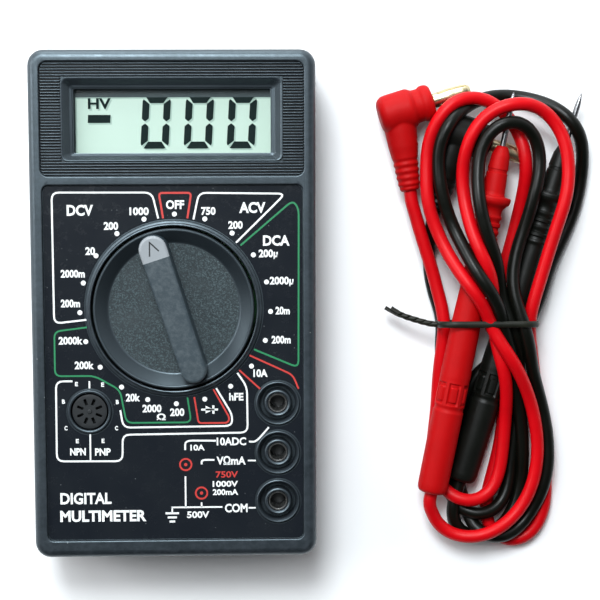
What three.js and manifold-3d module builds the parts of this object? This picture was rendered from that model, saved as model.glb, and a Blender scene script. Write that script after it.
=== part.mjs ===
// A pocket digital multimeter lying on its back, with its pair of test leads tied in a bundle beside it.
// Millimetres. The origin is the centre of the rear face, +X is right, +Y is towards the display end and
// +Z rises out of the front panel.
import * as THREE from "three";
import { mergeVertices } from "three/addons/utils/BufferGeometryUtils.js";
import Module from "manifold-3d";

const wasm = await Module();
wasm.setup();

// Driving dimensions
const CASE = { w: 70, l: 126, top: 24, corner: 3.5, wall: 2, seam: 11.2 };
const GAP = 0.3; // left between pieces that touch
const PANEL = { under: 21.3, rib: 23.4, label: 22.9 };
const LABEL = { x: 32.2, y0: -59, y1: 30.2, corner: 1.6, thick: 0.2 };
const RIBS = { x: 32.5, y0: 32.3, y1: 60.5 };
const WINDOW = { x: 24.3, y0: 38, y1: 53.8, lipX: 27, lipY0: 36.1, lipY1: 56.4, lip: 21.9 };
const DIAL = { y: -0.5, turn: 18, ring: 20.6, lip: 21.9, lipTop: 24.2, outer: 22.9, ringFoot: 17, steps: 20 };
const KNOB = { r: 20, foot: 17.3, rim: 24.9, floor: 22.4, floorR: 16.5, top: 28, reach: 19.1 };
const POINTER = { wide: 7, narrow: 6.3 }; // the bar across the knob, wider at its pointing end
const BALL = { r: 1.25, at: 19.2, z: 19.5, pocket: 1.5, pocketEnd: 11.8, notch: 20 };
const JACK = { x: 25.7, ys: [-24.5, -37, -49.4], ring: 5.5, well: 4.5, wellZ: 20.6, post: 3.2, hole: 2.7 };
const SLEEVE = { r: 2.4, bore: 2, foot: 8.5, top: 23 };
const SOCKET = { x: -21.3, y: -26.3, ring: 5.5, hole: 4.7, r: 4.4, slots: 8, top: 23.3 };
const RING_TOP = 23.6; // top of the raised rings round the jacks and the transistor socket
const BOARD = { z0: 14.4, z1: 16, x: 32.3, y0: -60.3, y1: 60.6, notchX: 17.6, notchY: -33 };
const CASE_SCREW = { x: 28.5, y: 27, post: 3, pilot: 1.5, head: 2.6, shank: 1.2, foot: 1.4, tip: 18.5 };
const SCREW_WELL = { post: 3.9, recess: 3, seat: 3.4 };
const BOARD_SCREW = { pillar: 2.4, pilot: 1.2, head: 2.1, shank: 0.9, tip: 20 };
const BOARD_SCREW_AT = [[-28.5, 8], [28.5, 8], [6, -29.3]];
const BATTERY = { x0: -32.2, x1: 16.3, y0: -60.2, y1: -33.7, z0: 2.3, z1: 19.8 };
const PLUG = { head: 5.2, barrelEnd: 9.3, pinEnd: 19.5, relief: 20.5 };
const PROBE = { r: 4, guard: 4.9, flange: 79, barrel: 92, tip: 106 };
const TIE = { x0: 67.3, x1: 93.9, z0: 0.2, z1: 14.3, y: -6.5, thick: 0.9, width: 2.2, corner: 5 };

// Finishes
function finish(color, roughness, metalness = 0) {
  return new THREE.MeshStandardMaterial({ color, roughness, metalness });
}

const caseBlack = finish(0x1c1f24, 0.45);
const labelInk = finish(0x1b2026, 0.5);
const clear = finish(0xe6eeee, 0.05);
const lcdGrey = finish(0xcfe3d8, 0.2);
const rubber = finish(0x3a3a3c, 0.8);
const fibreglass = finish(0x2f6b3c, 0.5);
const brass = finish(0xb8923f, 0.3, 1);
const steel = finish(0xb8babd, 0.25, 1);
const epoxy = finish(0x141414, 0.35);
const resistorTan = finish(0xc9a877, 0.5);
const capacitorGreen = finish(0x2b6f52, 0.4);
const potBlue = finish(0x2a57a5, 0.4);
const batteryGrey = finish(0x54585e, 0.4);
const leadRed = finish(0xd8101a, 0.35);
const leadBlack = finish(0x141414, 0.4);

const radians = THREE.MathUtils.degToRad;

// A closed geometry as a solid that can be cut and joined.
function solid(geometry) {
  const bare = geometry.clone();
  bare.deleteAttribute("normal");
  bare.deleteAttribute("uv");
  const merged = mergeVertices(bare, 1e-4);
  const mesh = new wasm.Mesh({
    numProp: 3,
    vertProperties: merged.attributes.position.array,
    triVerts: new Uint32Array(merged.index.array),
  });
  return new wasm.Manifold(mesh);
}

function geometryOf(shape) {
  const mesh = shape.getMesh();
  const geometry = new THREE.BufferGeometry();
  geometry.setAttribute("position", new THREE.BufferAttribute(new Float32Array(mesh.vertProperties), 3));
  geometry.setIndex(new THREE.BufferAttribute(new Uint32Array(mesh.triVerts), 1));
  geometry.computeVertexNormals();
  return geometry;
}

function add(parent, name, shape, material) {
  const geometry = shape instanceof THREE.BufferGeometry ? shape : geometryOf(shape);
  const mesh = new THREE.Mesh(geometry, material);
  mesh.name = name;
  parent.add(mesh);
  return mesh;
}

const joined = (shapes) => shapes.reduce((a, b) => a.add(b));
const cutBy = (shape, tools) => tools.reduce((a, b) => a.subtract(b), shape);

// The biggest of the separate bodies that a cut leaves.
const largest = (shape) => shape.decompose().reduce((a, b) => (a.volume() > b.volume() ? a : b));

// Plain solids
function box(x0, x1, y0, y1, z0, z1) {
  const geometry = new THREE.BoxGeometry(x1 - x0, y1 - y0, z1 - z0);
  return solid(geometry.translate((x0 + x1) / 2, (y0 + y1) / 2, (z0 + z1) / 2));
}

function disc(x, y, r, z0, z1, sides = 24) {
  const geometry = new THREE.CylinderGeometry(r, r, z1 - z0, sides);
  return solid(geometry.rotateX(Math.PI / 2).translate(x, y, (z0 + z1) / 2));
}

function roundedRect(x0, x1, y0, y1, r) {
  const shape = new THREE.Shape();
  shape.absarc(x1 - r, y1 - r, r, 0, Math.PI / 2);
  shape.absarc(x0 + r, y1 - r, r, Math.PI / 2, Math.PI);
  shape.absarc(x0 + r, y0 + r, r, Math.PI, 1.5 * Math.PI);
  shape.absarc(x1 - r, y0 + r, r, 1.5 * Math.PI, 2 * Math.PI);
  return shape;
}

function slab(shape, z0, z1, curveSegments = 4) {
  const geometry = new THREE.ExtrudeGeometry(shape, { depth: z1 - z0, bevelEnabled: false, curveSegments });
  return solid(geometry.translate(0, 0, z0));
}

const roundedBox = (x0, x1, y0, y1, r, z0, z1) => slab(roundedRect(x0, x1, y0, y1, r), z0, z1);

// A profile of [radius, height] points, listed from the foot to the top, turned about +Z.
function turned(profile, sides = 24) {
  const points = profile.map(([r, h]) => new THREE.Vector2(r, h));
  return new THREE.LatheGeometry(points, sides).rotateX(Math.PI / 2);
}

// A round wire of radius r along a curve.
function wire(points, r, steps, sides = 6) {
  const section = new THREE.Shape();
  for (let i = 0; i < sides; i++) {
    const a = (2 * Math.PI * i) / sides;
    if (i) section.lineTo(r * Math.cos(a), r * Math.sin(a));
    else section.moveTo(r, 0);
  }
  const extrudePath = new THREE.CatmullRomCurve3(points.map((p) => new THREE.Vector3(...p)));
  return new THREE.ExtrudeGeometry(section, { steps, extrudePath });
}

// A disc at the place of each case screw, of each board screw or of each jack.
const atCaseScrews = (...size) => [-1, 1].map((side) => disc(side * CASE_SCREW.x, CASE_SCREW.y, ...size));
const atBoardScrews = (...size) => BOARD_SCREW_AT.map(([x, y]) => disc(x, y, ...size));
const atJacks = (...size) => JACK.ys.map((y) => disc(JACK.x, y, ...size));

const meter = new THREE.Group();

// Case shells
function frontCase() {
  const x = CASE.w / 2;
  const y = CASE.l / 2;
  const foot = CASE.seam + GAP;
  const inner = CASE.wall;
  const solidParts = [
    cutBy(roundedBox(-x, x, -y, y, CASE.corner, foot, CASE.top), [
      roundedBox(inner - x, x - inner, inner - y, y - inner, CASE.corner - inner, foot - 1, PANEL.under),
      roundedBox(-LABEL.x, LABEL.x, LABEL.y0, LABEL.y1, LABEL.corner, PANEL.label, CASE.top + 1),
      box(-RIBS.x, RIBS.x, RIBS.y0, RIBS.y1, PANEL.rib, CASE.top + 1),
      box(-WINDOW.lipX, WINDOW.lipX, WINDOW.lipY0, WINDOW.lipY1, WINDOW.lip, CASE.top + 1),
      box(-WINDOW.x, WINDOW.x, WINDOW.y0, WINDOW.y1, PANEL.under - 1, CASE.top + 1),
    ]),
    disc(0, DIAL.y, DIAL.outer, DIAL.ringFoot, PANEL.under + 1, 32),
    disc(0, DIAL.y, DIAL.lip, PANEL.under, DIAL.lipTop, 32),
    disc(SOCKET.x, SOCKET.y, SOCKET.ring, PANEL.under, RING_TOP, 16),
    ...atCaseScrews(CASE_SCREW.post, foot, PANEL.under + 1, 12),
    ...atBoardScrews(BOARD_SCREW.pillar, BOARD.z1 + GAP, PANEL.under + 1, 12),
    ...atJacks(JACK.ring, BOARD.z1 + 1, RING_TOP, 16),
  ];
  const holes = [
    disc(0, DIAL.y, DIAL.ring, DIAL.ringFoot - 1, CASE.top + 1, 40),
    disc(SOCKET.x, SOCKET.y, SOCKET.hole, PANEL.under - 1, CASE.top + 1, 16),
    ...atCaseScrews(CASE_SCREW.pilot, foot - 1, CASE_SCREW.tip + GAP, 10),
    ...atBoardScrews(BOARD_SCREW.pilot, BOARD.z1, PANEL.under - 0.5, 8),
    ...atJacks(JACK.hole, BOARD.z1, CASE.top + 1, 12),
    ...JACK.ys.map(jackWell),
    ...detentNotches(),
  ];
  return cutBy(joined(solidParts), holes);
}

// The ring-shaped well between a jack's outer ring and its middle post.
function jackWell(y) {
  const { x, well, wellZ, post } = JACK;
  return disc(x, y, well, wellZ, CASE.top, 16).subtract(disc(x, y, post, wellZ - 1, CASE.top + 1, 16));
}

// One notch for each switch position, cut into the inside of the dial ring. The balls stand pressed in, just
// clear of the crests between the notches.
function detentNotches() {
  const notches = [];
  for (let i = 0; i < DIAL.steps; i++) {
    const a = (2 * Math.PI * i) / DIAL.steps;
    const x = BALL.notch * Math.cos(a);
    const y = DIAL.y + BALL.notch * Math.sin(a);
    notches.push(disc(x, y, BALL.pocket, BALL.z - 2, BALL.z + 1.4, 6));
  }
  return notches;
}

function rearCover() {
  const x = CASE.w / 2;
  const y = CASE.l / 2;
  const inner = CASE.wall;
  const batteryRib = box(1 - x, BATTERY.x1 + 1, BATTERY.y1 + 0.4, BATTERY.y1 + 1.8, 1, CASE.seam - 1);
  const shell = joined([
    cutBy(roundedBox(-x, x, -y, y, CASE.corner, 0, CASE.seam), [
      roundedBox(inner - x, x - inner, inner - y, y - inner, CASE.corner - inner, CASE.wall, CASE.seam + 1),
    ]),
    batteryRib,
    ...atCaseScrews(SCREW_WELL.post, 1, CASE.seam - GAP, 16),
  ]);
  return cutBy(shell, [
    ...atCaseScrews(SCREW_WELL.recess, -1, SCREW_WELL.seat, 16),
    ...atCaseScrews(CASE_SCREW.pilot, 0, CASE.seam, 10),
  ]);
}

// A pan-head screw with a cross recess, its head down.
function screw(x, y, { head, shank, tip }, z0) {
  const headTop = z0 + 1.7;
  const profile = [
    [0, z0 + 0.3], [head * 0.7, z0 + 0.1], [head, z0 + 0.8], [head, headTop],
    [shank, headTop], [shank, tip - 1], [0, tip],
  ];
  const arm = head * 0.55;
  const cross = [box(-arm, arm, -0.3, 0.3, z0 - 1, z0 + 0.9), box(-0.3, 0.3, -arm, arm, z0 - 1, z0 + 0.9)];
  return geometryOf(cutBy(solid(turned(profile, 10)), cross)).translate(x, y, 0);
}

// Front panel pieces
function faceLabel() {
  const margin = 0.2;
  const edge = LABEL.x - margin;
  const shape = roundedRect(-edge, edge, LABEL.y0 + margin, LABEL.y1 - margin, LABEL.corner);
  const holes = [
    [0, DIAL.y, DIAL.lip],
    [SOCKET.x, SOCKET.y, SOCKET.ring],
    ...JACK.ys.map((y) => [JACK.x, y, JACK.ring]),
  ];
  for (const [x, y, r] of holes) {
    shape.holes.push(new THREE.Path().absarc(x, y, r + 0.5, 0, 2 * Math.PI, true));
  }
  const z0 = PANEL.label + 0.05;
  return slab(shape, z0, z0 + LABEL.thick, 9);
}

function transistorSocket() {
  const slots = [];
  for (let i = 0; i < SOCKET.slots; i++) {
    const slot = new THREE.BoxGeometry(1.4, 0.6, 6).translate(2.5, 0, SOCKET.top);
    slots.push(solid(slot.rotateZ(radians(22.5 + (360 * i) / SOCKET.slots))));
  }
  const body = disc(0, 0, SOCKET.r, BOARD.z1 + GAP, SOCKET.top, 16);
  return geometryOf(cutBy(body, slots)).translate(SOCKET.x, SOCKET.y, 0);
}

// A brass sleeve that takes a 4 mm plug pin.
function jackSleeve(y) {
  const { r, bore, foot, top } = SLEEVE;
  const profile = [[bore, foot], [r, foot], [r, top], [bore, top], [bore, foot]];
  return turned(profile, 12).translate(JACK.x, y, 0);
}

// Display
const DISPLAY = { x: 27.5, y0: 35.3, y1: 57.1, glass0: 17.8, glass1: 19.6, lens0: 20, lens1: 21.2 };

function displayFrame() {
  const { x, y0, y1, lens0, lens1 } = DISPLAY;
  const outX = x + 2.6;
  const inX = x + GAP;
  const outer = box(-outX, outX, y0 - 2.3, y1 + 2.6, BOARD.z1 + GAP, lens0 + 0.7);
  return outer.subtract(box(-inX, inX, y0 - GAP, y1 + GAP, BOARD.z1 - 1, lens1 + 1));
}

// Selector: everything here turns about the dial centre, with the pointer along +Y before it is turned.
const selector = new THREE.Group();
selector.position.set(0, DIAL.y, 0);
selector.rotation.z = radians(DIAL.turn);
meter.add(selector);

function selectorKnob() {
  const { r, foot, rim, floor, floorR, top, reach } = KNOB;
  const { wide, narrow } = POINTER;
  const dish = [
    [0, foot], [r, foot], [r, rim - 0.4], [r - 0.4, rim], [r - 0.8, rim], [floorR, floor], [0, floor],
  ];
  const bar = new THREE.Shape();
  bar.absarc(0, reach - wide / 2, wide / 2, 0, Math.PI);
  bar.absarc(0, narrow / 2 - reach, narrow / 2, Math.PI, 2 * Math.PI);
  const pockets = [-1, 1].map((side) => {
    const length = r + 1 - BALL.pocketEnd;
    const hole = new THREE.CylinderGeometry(BALL.pocket, BALL.pocket, length, 10).rotateZ(Math.PI / 2);
    return solid(hole.translate(side * (BALL.pocketEnd + length / 2), 0, BALL.z));
  });
  return cutBy(solid(turned(dish, 40)).add(slab(bar, floor - 1, top, 5)), pockets);
}

function detentSpring(side) {
  const coil = { r: 1.05, wire: 0.16, from: BALL.pocketEnd + 0.5, to: BALL.at - BALL.r - 0.4, turns: 4 };
  const points = [];
  const perTurn = 7;
  for (let i = 0; i <= coil.turns * perTurn; i++) {
    const a = (2 * Math.PI * i) / perTurn;
    const x = THREE.MathUtils.lerp(coil.from, coil.to, i / (coil.turns * perTurn));
    points.push([side * x, coil.r * Math.cos(a), BALL.z + coil.r * Math.sin(a)]);
  }
  return wire(points, coil.wire, coil.turns * perTurn, 4);
}

// A bowed spring-metal strip that bridges the tracks on the circuit board.
function contactWiper(radius, angle) {
  const foot = BOARD.z1 + 0.15;
  const crown = KNOB.foot - 0.15;
  const thick = 0.2;
  const end = 3.6;
  const flat = 1.3;
  const profile = [
    [-end, foot], [-flat, crown - thick], [flat, crown - thick], [end, foot],
    [end, foot + thick], [flat, crown], [-flat, crown], [-end, foot + thick],
  ];
  const shape = new THREE.Shape(profile.map(([u, z]) => new THREE.Vector2(u, z)));
  const strip = new THREE.ExtrudeGeometry(shape, { depth: 1.4, bevelEnabled: false });
  return strip.rotateX(Math.PI / 2).translate(0, radius, 0).rotateZ(radians(angle));
}

// Circuit board and the parts on its rear side
function circuitBoard() {
  const { x, y0, y1, z0, z1, notchX, notchY } = BOARD;
  const tools = [
    box(-x - 1, notchX, y0 - 1, notchY, z0 - 1, z1 + 1),
    ...atCaseScrews(CASE_SCREW.post + GAP, z0 - 1, z1 + 1, 12),
    ...atBoardScrews(BOARD_SCREW.pilot, z0 - 1, z1 + 1, 8),
    ...atJacks(JACK.hole, z0 - 1, z1 + 1, 12),
  ];
  return cutBy(roundedBox(-x, x, y0, y1, 2.4, z0, z1), tools);
}

const REAR = BOARD.z0 - 0.1; // where the parts on the rear of the board begin

function resistor(x, y, turn) {
  const [lead, leadEnd, body, bodyEnd] = [0.3, 5.2, 1.2, 3.1];
  const profile = [
    [0, -leadEnd], [lead, -leadEnd], [lead, -bodyEnd], [body, -bodyEnd],
    [body, bodyEnd], [lead, bodyEnd], [lead, leadEnd], [0, leadEnd],
  ];
  return turned(profile, 8).rotateX(Math.PI / 2).rotateZ(radians(turn)).translate(x, y, REAR - 1.3);
}

const FUSE = { x: 10, y: -10, z: REAR - 3, half: 10, glass: 2.3, cap: 2.6, capLength: 3.4 };

function fuseCap(side) {
  const { glass, cap, half, capLength } = FUSE;
  const inner = glass + 0.1;
  const profile = [
    [inner, half - capLength], [cap, half - capLength], [cap, half], [0, half],
    [0, half - 0.4], [inner, half - 0.4], [inner, half - capLength],
  ];
  const along = turned(profile, 12).rotateX(-Math.PI / 2);
  if (side < 0) along.rotateX(Math.PI);
  return along.translate(FUSE.x, FUSE.y, FUSE.z);
}

function fuseGlass() {
  const end = FUSE.half - 0.7;
  const outer = FUSE.glass;
  const inner = outer - 0.5;
  const profile = [[inner, -end], [outer, -end], [outer, end], [inner, end], [inner, -end]];
  return turned(profile, 12).rotateX(Math.PI / 2).translate(FUSE.x, FUSE.y, FUSE.z);
}

function fuseClip(side) {
  const { x, z, cap } = FUSE;
  const inner = cap + GAP;
  const outer = inner + 0.4;
  const y = FUSE.y + side * (FUSE.half - FUSE.capLength / 2);
  const block = box(x - outer, x + outer, y - 1.5, y + 1.5, z - 1.8, REAR);
  return block.subtract(box(x - inner, x + inner, y - 2, y + 2, z - 3, z + cap + 0.1));
}

function shuntWire() {
  const x = 30.2;
  const [y0, , y1] = JACK.ys;
  const crown = 7.4;
  const route = [
    [x, y0, REAR], [x, y0, 10], [x, y0 - 3, crown], [x, y1 + 3, crown], [x, y1, 10], [x, y1, REAR],
  ];
  return wire(route, 0.7, 18);
}

function chipBlob() {
  const profile = [[0, -2], [3.4, -1.8], [6, -1.1], [7, 0], [0, 0]];
  return turned(profile, 16).translate(-9, 22, REAR);
}

function trimPotentiometer() {
  const [x, y] = [13, 27];
  const body = box(x - 3.3, x + 3.3, y - 3.3, y + 3.3, REAR - 3.6, REAR);
  return cutBy(body, [box(x - 1.6, x + 1.6, y - 0.4, y + 0.4, REAR - 5, REAR - 2.8)]);
}

// Battery
function batterySnap() {
  const x = BATTERY.x1 + 2.7;
  return box(x, x + 1.6, BATTERY.y0 + 0.5, BATTERY.y1 - 0.5, 4.5, 13.9);
}

const TERMINALS = { y: 6.35, z: 10.2, hex: 3.8, stud: 2.9, reach: 2.4 };

function batteryTerminal(side, r, sides) {
  const stud = new THREE.CylinderGeometry(r, r * 0.93, TERMINALS.reach - 0.2, sides).rotateZ(-Math.PI / 2);
  const y = (BATTERY.y0 + BATTERY.y1) / 2 + side * TERMINALS.y;
  return stud.translate(BATTERY.x1 + 0.1 + TERMINALS.reach / 2, y, TERMINALS.z);
}

function batteryWire(side) {
  const y = (BATTERY.y0 + BATTERY.y1) / 2 + side * TERMINALS.y;
  const out = BATTERY.x1 + 4.8;
  const z = 9 + 2 * side; // the two wires run one above the other
  const x = 21.6 + side;
  const side0 = 22.2; // the wires run along the case wall here
  const route = [
    [out, y, z], [out + 1, y + 0.6, z], [side0, y + 3, z], [side0, -36, z],
    [x, -32, z], [x, -30.5, 11.5], [x, -30, REAR],
  ];
  return wire(route, 0.6, 14);
}

add(meter, "front_case", frontCase(), caseBlack);
add(meter, "rear_cover", rearCover(), caseBlack);
add(meter, "face_label", faceLabel(), labelInk);
add(meter, "transistor_socket", transistorSocket(), epoxy);
["jack_10a", "jack_volt", "jack_com"].forEach((name, i) => add(meter, name, jackSleeve(JACK.ys[i]), brass));
{
  const { x, y0, y1, glass0, glass1, lens0, lens1 } = DISPLAY;
  add(meter, "display_lens", box(-x, x, y0, y1, lens0, lens1), clear);
  add(meter, "lcd_panel", box(-x, x, y0, y1, glass0, glass1), lcdGrey);
  add(meter, "lcd_frame", displayFrame(), caseBlack);
  const strip = box(1.5 - x, x - 1.5, y0 + 0.4, y0 + 2.8, BOARD.z1 + 0.1, glass0 - 0.1);
  add(meter, "zebra_strip", strip, rubber);
}
add(selector, "selector_knob", selectorKnob(), caseBlack);
[-1, 1].forEach((side, i) => {
  const ball = new THREE.SphereGeometry(BALL.r, 10, 8).translate(side * BALL.at, 0, BALL.z);
  add(selector, `detent_ball_${i + 1}`, ball, steel);
  add(selector, `detent_spring_${i + 1}`, detentSpring(side), steel);
});
[7, 11, 15].forEach((radius, i) => {
  add(selector, `contact_wiper_${i + 1}`, contactWiper(radius, 120 * i), brass);
});
add(meter, "circuit_board", circuitBoard(), fibreglass);
add(meter, "fuse_glass", fuseGlass(), clear);
[-1, 1].forEach((side, i) => {
  add(meter, `fuse_cap_${i + 1}`, fuseCap(side), steel);
  add(meter, `fuse_clip_${i + 1}`, fuseClip(side), brass);
  const { x, y, foot } = CASE_SCREW;
  add(meter, `case_screw_${i + 1}`, screw(side * x, y, CASE_SCREW, foot), steel);
});
add(meter, "shunt_wire", shuntWire(), brass);
add(meter, "chip_blob", chipBlob(), epoxy);
add(meter, "trim_potentiometer", trimPotentiometer(), potBlue);
[[-16, 4, 90], [-16, 0, 90], [-16, -4, 90], [24, 14, 0]].forEach(([x, y, turn], i) => {
  add(meter, `resistor_${i + 1}`, resistor(x, y, turn), resistorTan);
});
add(meter, "capacitor_1", box(-28, -20, 14, 17.4, REAR - 5.5, REAR), capacitorGreen);
add(meter, "capacitor_2", disc(0, 8, 2.5, REAR - 6, REAR, 12), capacitorGreen);
BOARD_SCREW_AT.forEach(([x, y], i) => {
  add(meter, `board_screw_${i + 1}`, screw(x, y, BOARD_SCREW, BOARD.z0 - 1.8), steel);
});
{
  const { x0, x1, y0, y1, z0, z1 } = BATTERY;
  const can = slab(roundedRect(y0, y1, z0, z1, 1.5), x0, x1, 2);
  const along = new THREE.Matrix4().makeBasis(
    new THREE.Vector3(0, 1, 0), new THREE.Vector3(0, 0, 1), new THREE.Vector3(1, 0, 0));
  add(meter, "battery", geometryOf(can).applyMatrix4(along), batteryGrey);
}
add(meter, "battery_terminal_positive", batteryTerminal(1, TERMINALS.stud, 12), steel);
add(meter, "battery_terminal_negative", batteryTerminal(-1, TERMINALS.hex, 6), steel);
add(meter, "battery_snap", batterySnap(), leadBlack);
add(meter, "battery_wire_red", batteryWire(1), leadRed);
add(meter, "battery_wire_black", batteryWire(-1), leadBlack);

// Test leads. A plug or a probe is built along its own +X and then laid on the table.
const RED = {
  name: "red", material: leadRed, plugAt: [57.4, 48.4, 5.6], plugTurn: 17, lean: 8,
  probeRear: [66.2, -50.7, 8], probeTurn: 78.9, probeRise: 1.4, hank: [6, 10.8], x0: 60.2, x1: 101.5,
};
const BLACK = {
  name: "black", material: leadBlack, plugAt: [72.6, 43, 5.3], plugTurn: -20, lean: -5,
  probeRear: [74.3, -48.3, 4.15], probeTurn: 73.2, probeRise: 1.1, hank: [0.2, 5.7], x0: 65.8, x1: 107.2,
};

const alongX = (profile, sides) => turned(profile, sides).rotateY(Math.PI / 2);

function plugBody(lean) {
  const { head, barrelEnd, relief } = PLUG;
  const barrel = [
    [0, -5], [3.6, -5], [head, -3.2], [head, 3.4], [4.3, 4.2], [4.3, 6.4],
    [4.8, 7], [4.4, barrelEnd], [0, barrelEnd],
  ];
  const sleeve = [
    [0, 0], [4.3, 0], [4.1, 6], [3.6, 11], [3.2, 11.6], [3.4, 12.6],
    [2.9, 13.4], [3.2, 14.4], [2.7, 15.2], [3, 16.4], [2.4, relief], [0, relief],
  ];
  const side = solid(alongX(sleeve, 12).rotateZ(radians(-90 - lean)));
  return solid(alongX(barrel, 16)).add(side);
}

function plugPin() {
  const { barrelEnd, pinEnd } = PLUG;
  const start = barrelEnd + GAP;
  const r = 1.9;
  const bulge = 2.15; // the pin's springs stand out in its middle
  const profile = [
    [0, start], [r, start], [r, start + 1], [bulge, start + 4], [r, pinEnd - 1.5], [1.3, pinEnd], [0, pinEnd],
  ];
  return alongX(profile, 12);
}

function probeHandle() {
  const { r, guard, flange, barrel } = PROBE;
  const waist = r * 0.8;
  const groove = r * 0.93;
  const rear = [
    [0, 0], [r * 0.9, 0], [r, 2], [r, 24], [groove, 24.8], [groove, 30], [r, 30.8], [r * 0.95, 44],
  ];
  const front = [
    [waist, flange - 14], [waist, flange - 4], [guard, flange - 1.5], [guard, flange],
    [2.9, flange + 0.6], [2.5, barrel - 3], [1.5, barrel], [0, barrel],
  ];
  return alongX([...rear, ...front], 14);
}

function probeTip() {
  const { barrel, tip } = PROBE;
  return alongX([[0, barrel + GAP], [0.75, barrel + GAP], [0.75, tip - 3], [0.15, tip], [0, tip]], 8);
}

// Where a plug or a probe lies: its turn about +Z and the angle that its front end rises.
function placed([x, y, z], turn, rise = 0) {
  const spin = new THREE.Euler(0, -radians(rise), radians(turn), "ZYX");
  return new THREE.Matrix4().makeRotationFromEuler(spin).setPosition(x, y, z);
}

// The outline of a tied hank: two round ends and a narrow waist under the tie.
function hankOutline({ x0, x1 }) {
  const waist = TIE.y;
  const left = TIE.x0 + 2;
  const right = TIE.x1 - 2;
  const topY = 52;
  const bottomY = -64;
  const points = [
    [left, waist], [x0, 28], [x0 + 8, 46], [(x0 + x1) / 2, topY], [x1 - 6, 45], [x1, 30],
    [right, waist], [right + 4, -38], [right - 1, -58], [82, bottomY], [70, -57], [left - 2, -40],
  ];
  const corners = [...points, points[0]].map(([x, y]) => new THREE.Vector2(x, y));
  return new THREE.Shape(new THREE.SplineCurve(corners).getPoints(36));
}

// The tie's inner or outer outline, drawn in X and Z, as a block across Y.
function tieBlock(inset, halfWidth) {
  const { x0, x1, z0, z1, y, corner } = TIE;
  const outline = roundedRect(x0 + inset, x1 - inset, z0 + inset, z1 - inset, corner - inset);
  return solid(geometryOf(slab(outline, -halfWidth, halfWidth, 3)).rotateX(Math.PI / 2).translate(0, y, 0));
}

function tieBand() {
  const { x0, y, thick, width } = TIE;
  const tail = [[x0 + 0.5, y, 7], [x0 - 4, y + 1, 7.4], [x0 - 9, y + 2.6, 6.4], [x0 - 13.4, y + 4.6, 5.6]];
  const band = tieBlock(0, width / 2).subtract(tieBlock(thick, width));
  return band.add(solid(wire(tail, 0.8, 6)));
}

// Everything in the tie's plane that isn't well inside it, which the hanks leave free.
function tieGroove() {
  const { x0, x1, z1, y, thick, width } = TIE;
  const half = width / 2 + GAP;
  return box(x0 - 4, x1 + 4, y - half, y + half, -1, z1 + 2).subtract(tieBlock(thick + GAP, width));
}

// Room left in the hanks for a plug or a probe.
function roomFor(matrix, radius, x0, x1) {
  const rod = new THREE.CylinderGeometry(radius, radius, x1 - x0, 12).rotateZ(Math.PI / 2);
  return solid(rod.translate((x0 + x1) / 2, 0, 0).applyMatrix4(matrix));
}

const leads = new THREE.Group();
meter.add(leads);
const rooms = [tieGroove()];
for (const lead of [RED, BLACK]) {
  const plug = placed(lead.plugAt, lead.plugTurn);
  const probe = placed(lead.probeRear, lead.probeTurn, lead.probeRise);
  const relief = plug.clone().multiply(new THREE.Matrix4().makeRotationZ(radians(-90 - lead.lean)));
  rooms.push(
    roomFor(plug, PLUG.head + 0.5, -5.5, PLUG.barrelEnd + 0.5),
    roomFor(plug, 2.6, 0, PLUG.pinEnd + 0.5),
    roomFor(relief, 4.7, 0, PLUG.relief + 0.4),
    roomFor(probe, PROBE.r + 0.5, -0.4, PROBE.flange),
    roomFor(probe, PROBE.guard + 0.5, PROBE.flange - 4.5, PROBE.flange + 1),
    roomFor(probe, 3.4, 0, PROBE.tip + 0.4),
  );
  add(leads, `${lead.name}_plug_body`, plugBody(lead.lean), lead.material).applyMatrix4(plug);
  add(leads, `${lead.name}_plug_pin`, plugPin(), brass).applyMatrix4(plug);
  add(leads, `${lead.name}_probe_handle`, probeHandle(), lead.material).applyMatrix4(probe);
  add(leads, `${lead.name}_probe_tip`, probeTip(), steel).applyMatrix4(probe);
}
for (const lead of [RED, BLACK]) {
  const hank = slab(hankOutline(lead), ...lead.hank, 4);
  add(leads, `${lead.name}_lead_hank`, largest(cutBy(hank, rooms)), lead.material);
}
add(leads, "twist_tie", tieBand(), rubber);

export default meter;
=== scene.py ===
"""A pocket digital multimeter on its back, with its test leads tied in a bundle beside it.

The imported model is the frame. Outlines and places are written in millimetres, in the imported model's
frame, and turned into metres when a mesh is made.
"""

import math

import bmesh
import bpy
import numpy as np
from mathutils import Matrix, Vector
from mathutils.geometry import tessellate_polygon


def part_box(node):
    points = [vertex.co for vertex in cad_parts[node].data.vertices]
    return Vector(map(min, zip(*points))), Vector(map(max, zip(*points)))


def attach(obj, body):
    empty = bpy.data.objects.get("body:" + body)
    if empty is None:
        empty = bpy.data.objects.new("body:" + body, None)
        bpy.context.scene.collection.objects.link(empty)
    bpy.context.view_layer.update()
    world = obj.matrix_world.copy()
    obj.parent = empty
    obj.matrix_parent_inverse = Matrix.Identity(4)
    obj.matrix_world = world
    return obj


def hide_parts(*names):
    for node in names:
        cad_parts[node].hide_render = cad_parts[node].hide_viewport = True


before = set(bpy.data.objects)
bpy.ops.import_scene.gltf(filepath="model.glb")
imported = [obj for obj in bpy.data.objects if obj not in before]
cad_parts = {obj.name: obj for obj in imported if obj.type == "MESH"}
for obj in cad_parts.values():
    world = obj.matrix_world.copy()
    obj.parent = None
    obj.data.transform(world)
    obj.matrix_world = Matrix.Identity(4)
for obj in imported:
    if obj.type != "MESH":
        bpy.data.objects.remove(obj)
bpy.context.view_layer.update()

MM = 0.001
TAU = math.tau
SHARPEST_MITRE = 0.4  # keeps the corners of a thin line from running far out


def box_mm(node):
    """The lowest and highest corners of a CAD node, in millimetres."""
    low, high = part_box(node)
    return low / MM, high / MM


# ---------------------------------------------------------------- camera, floor and light

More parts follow.
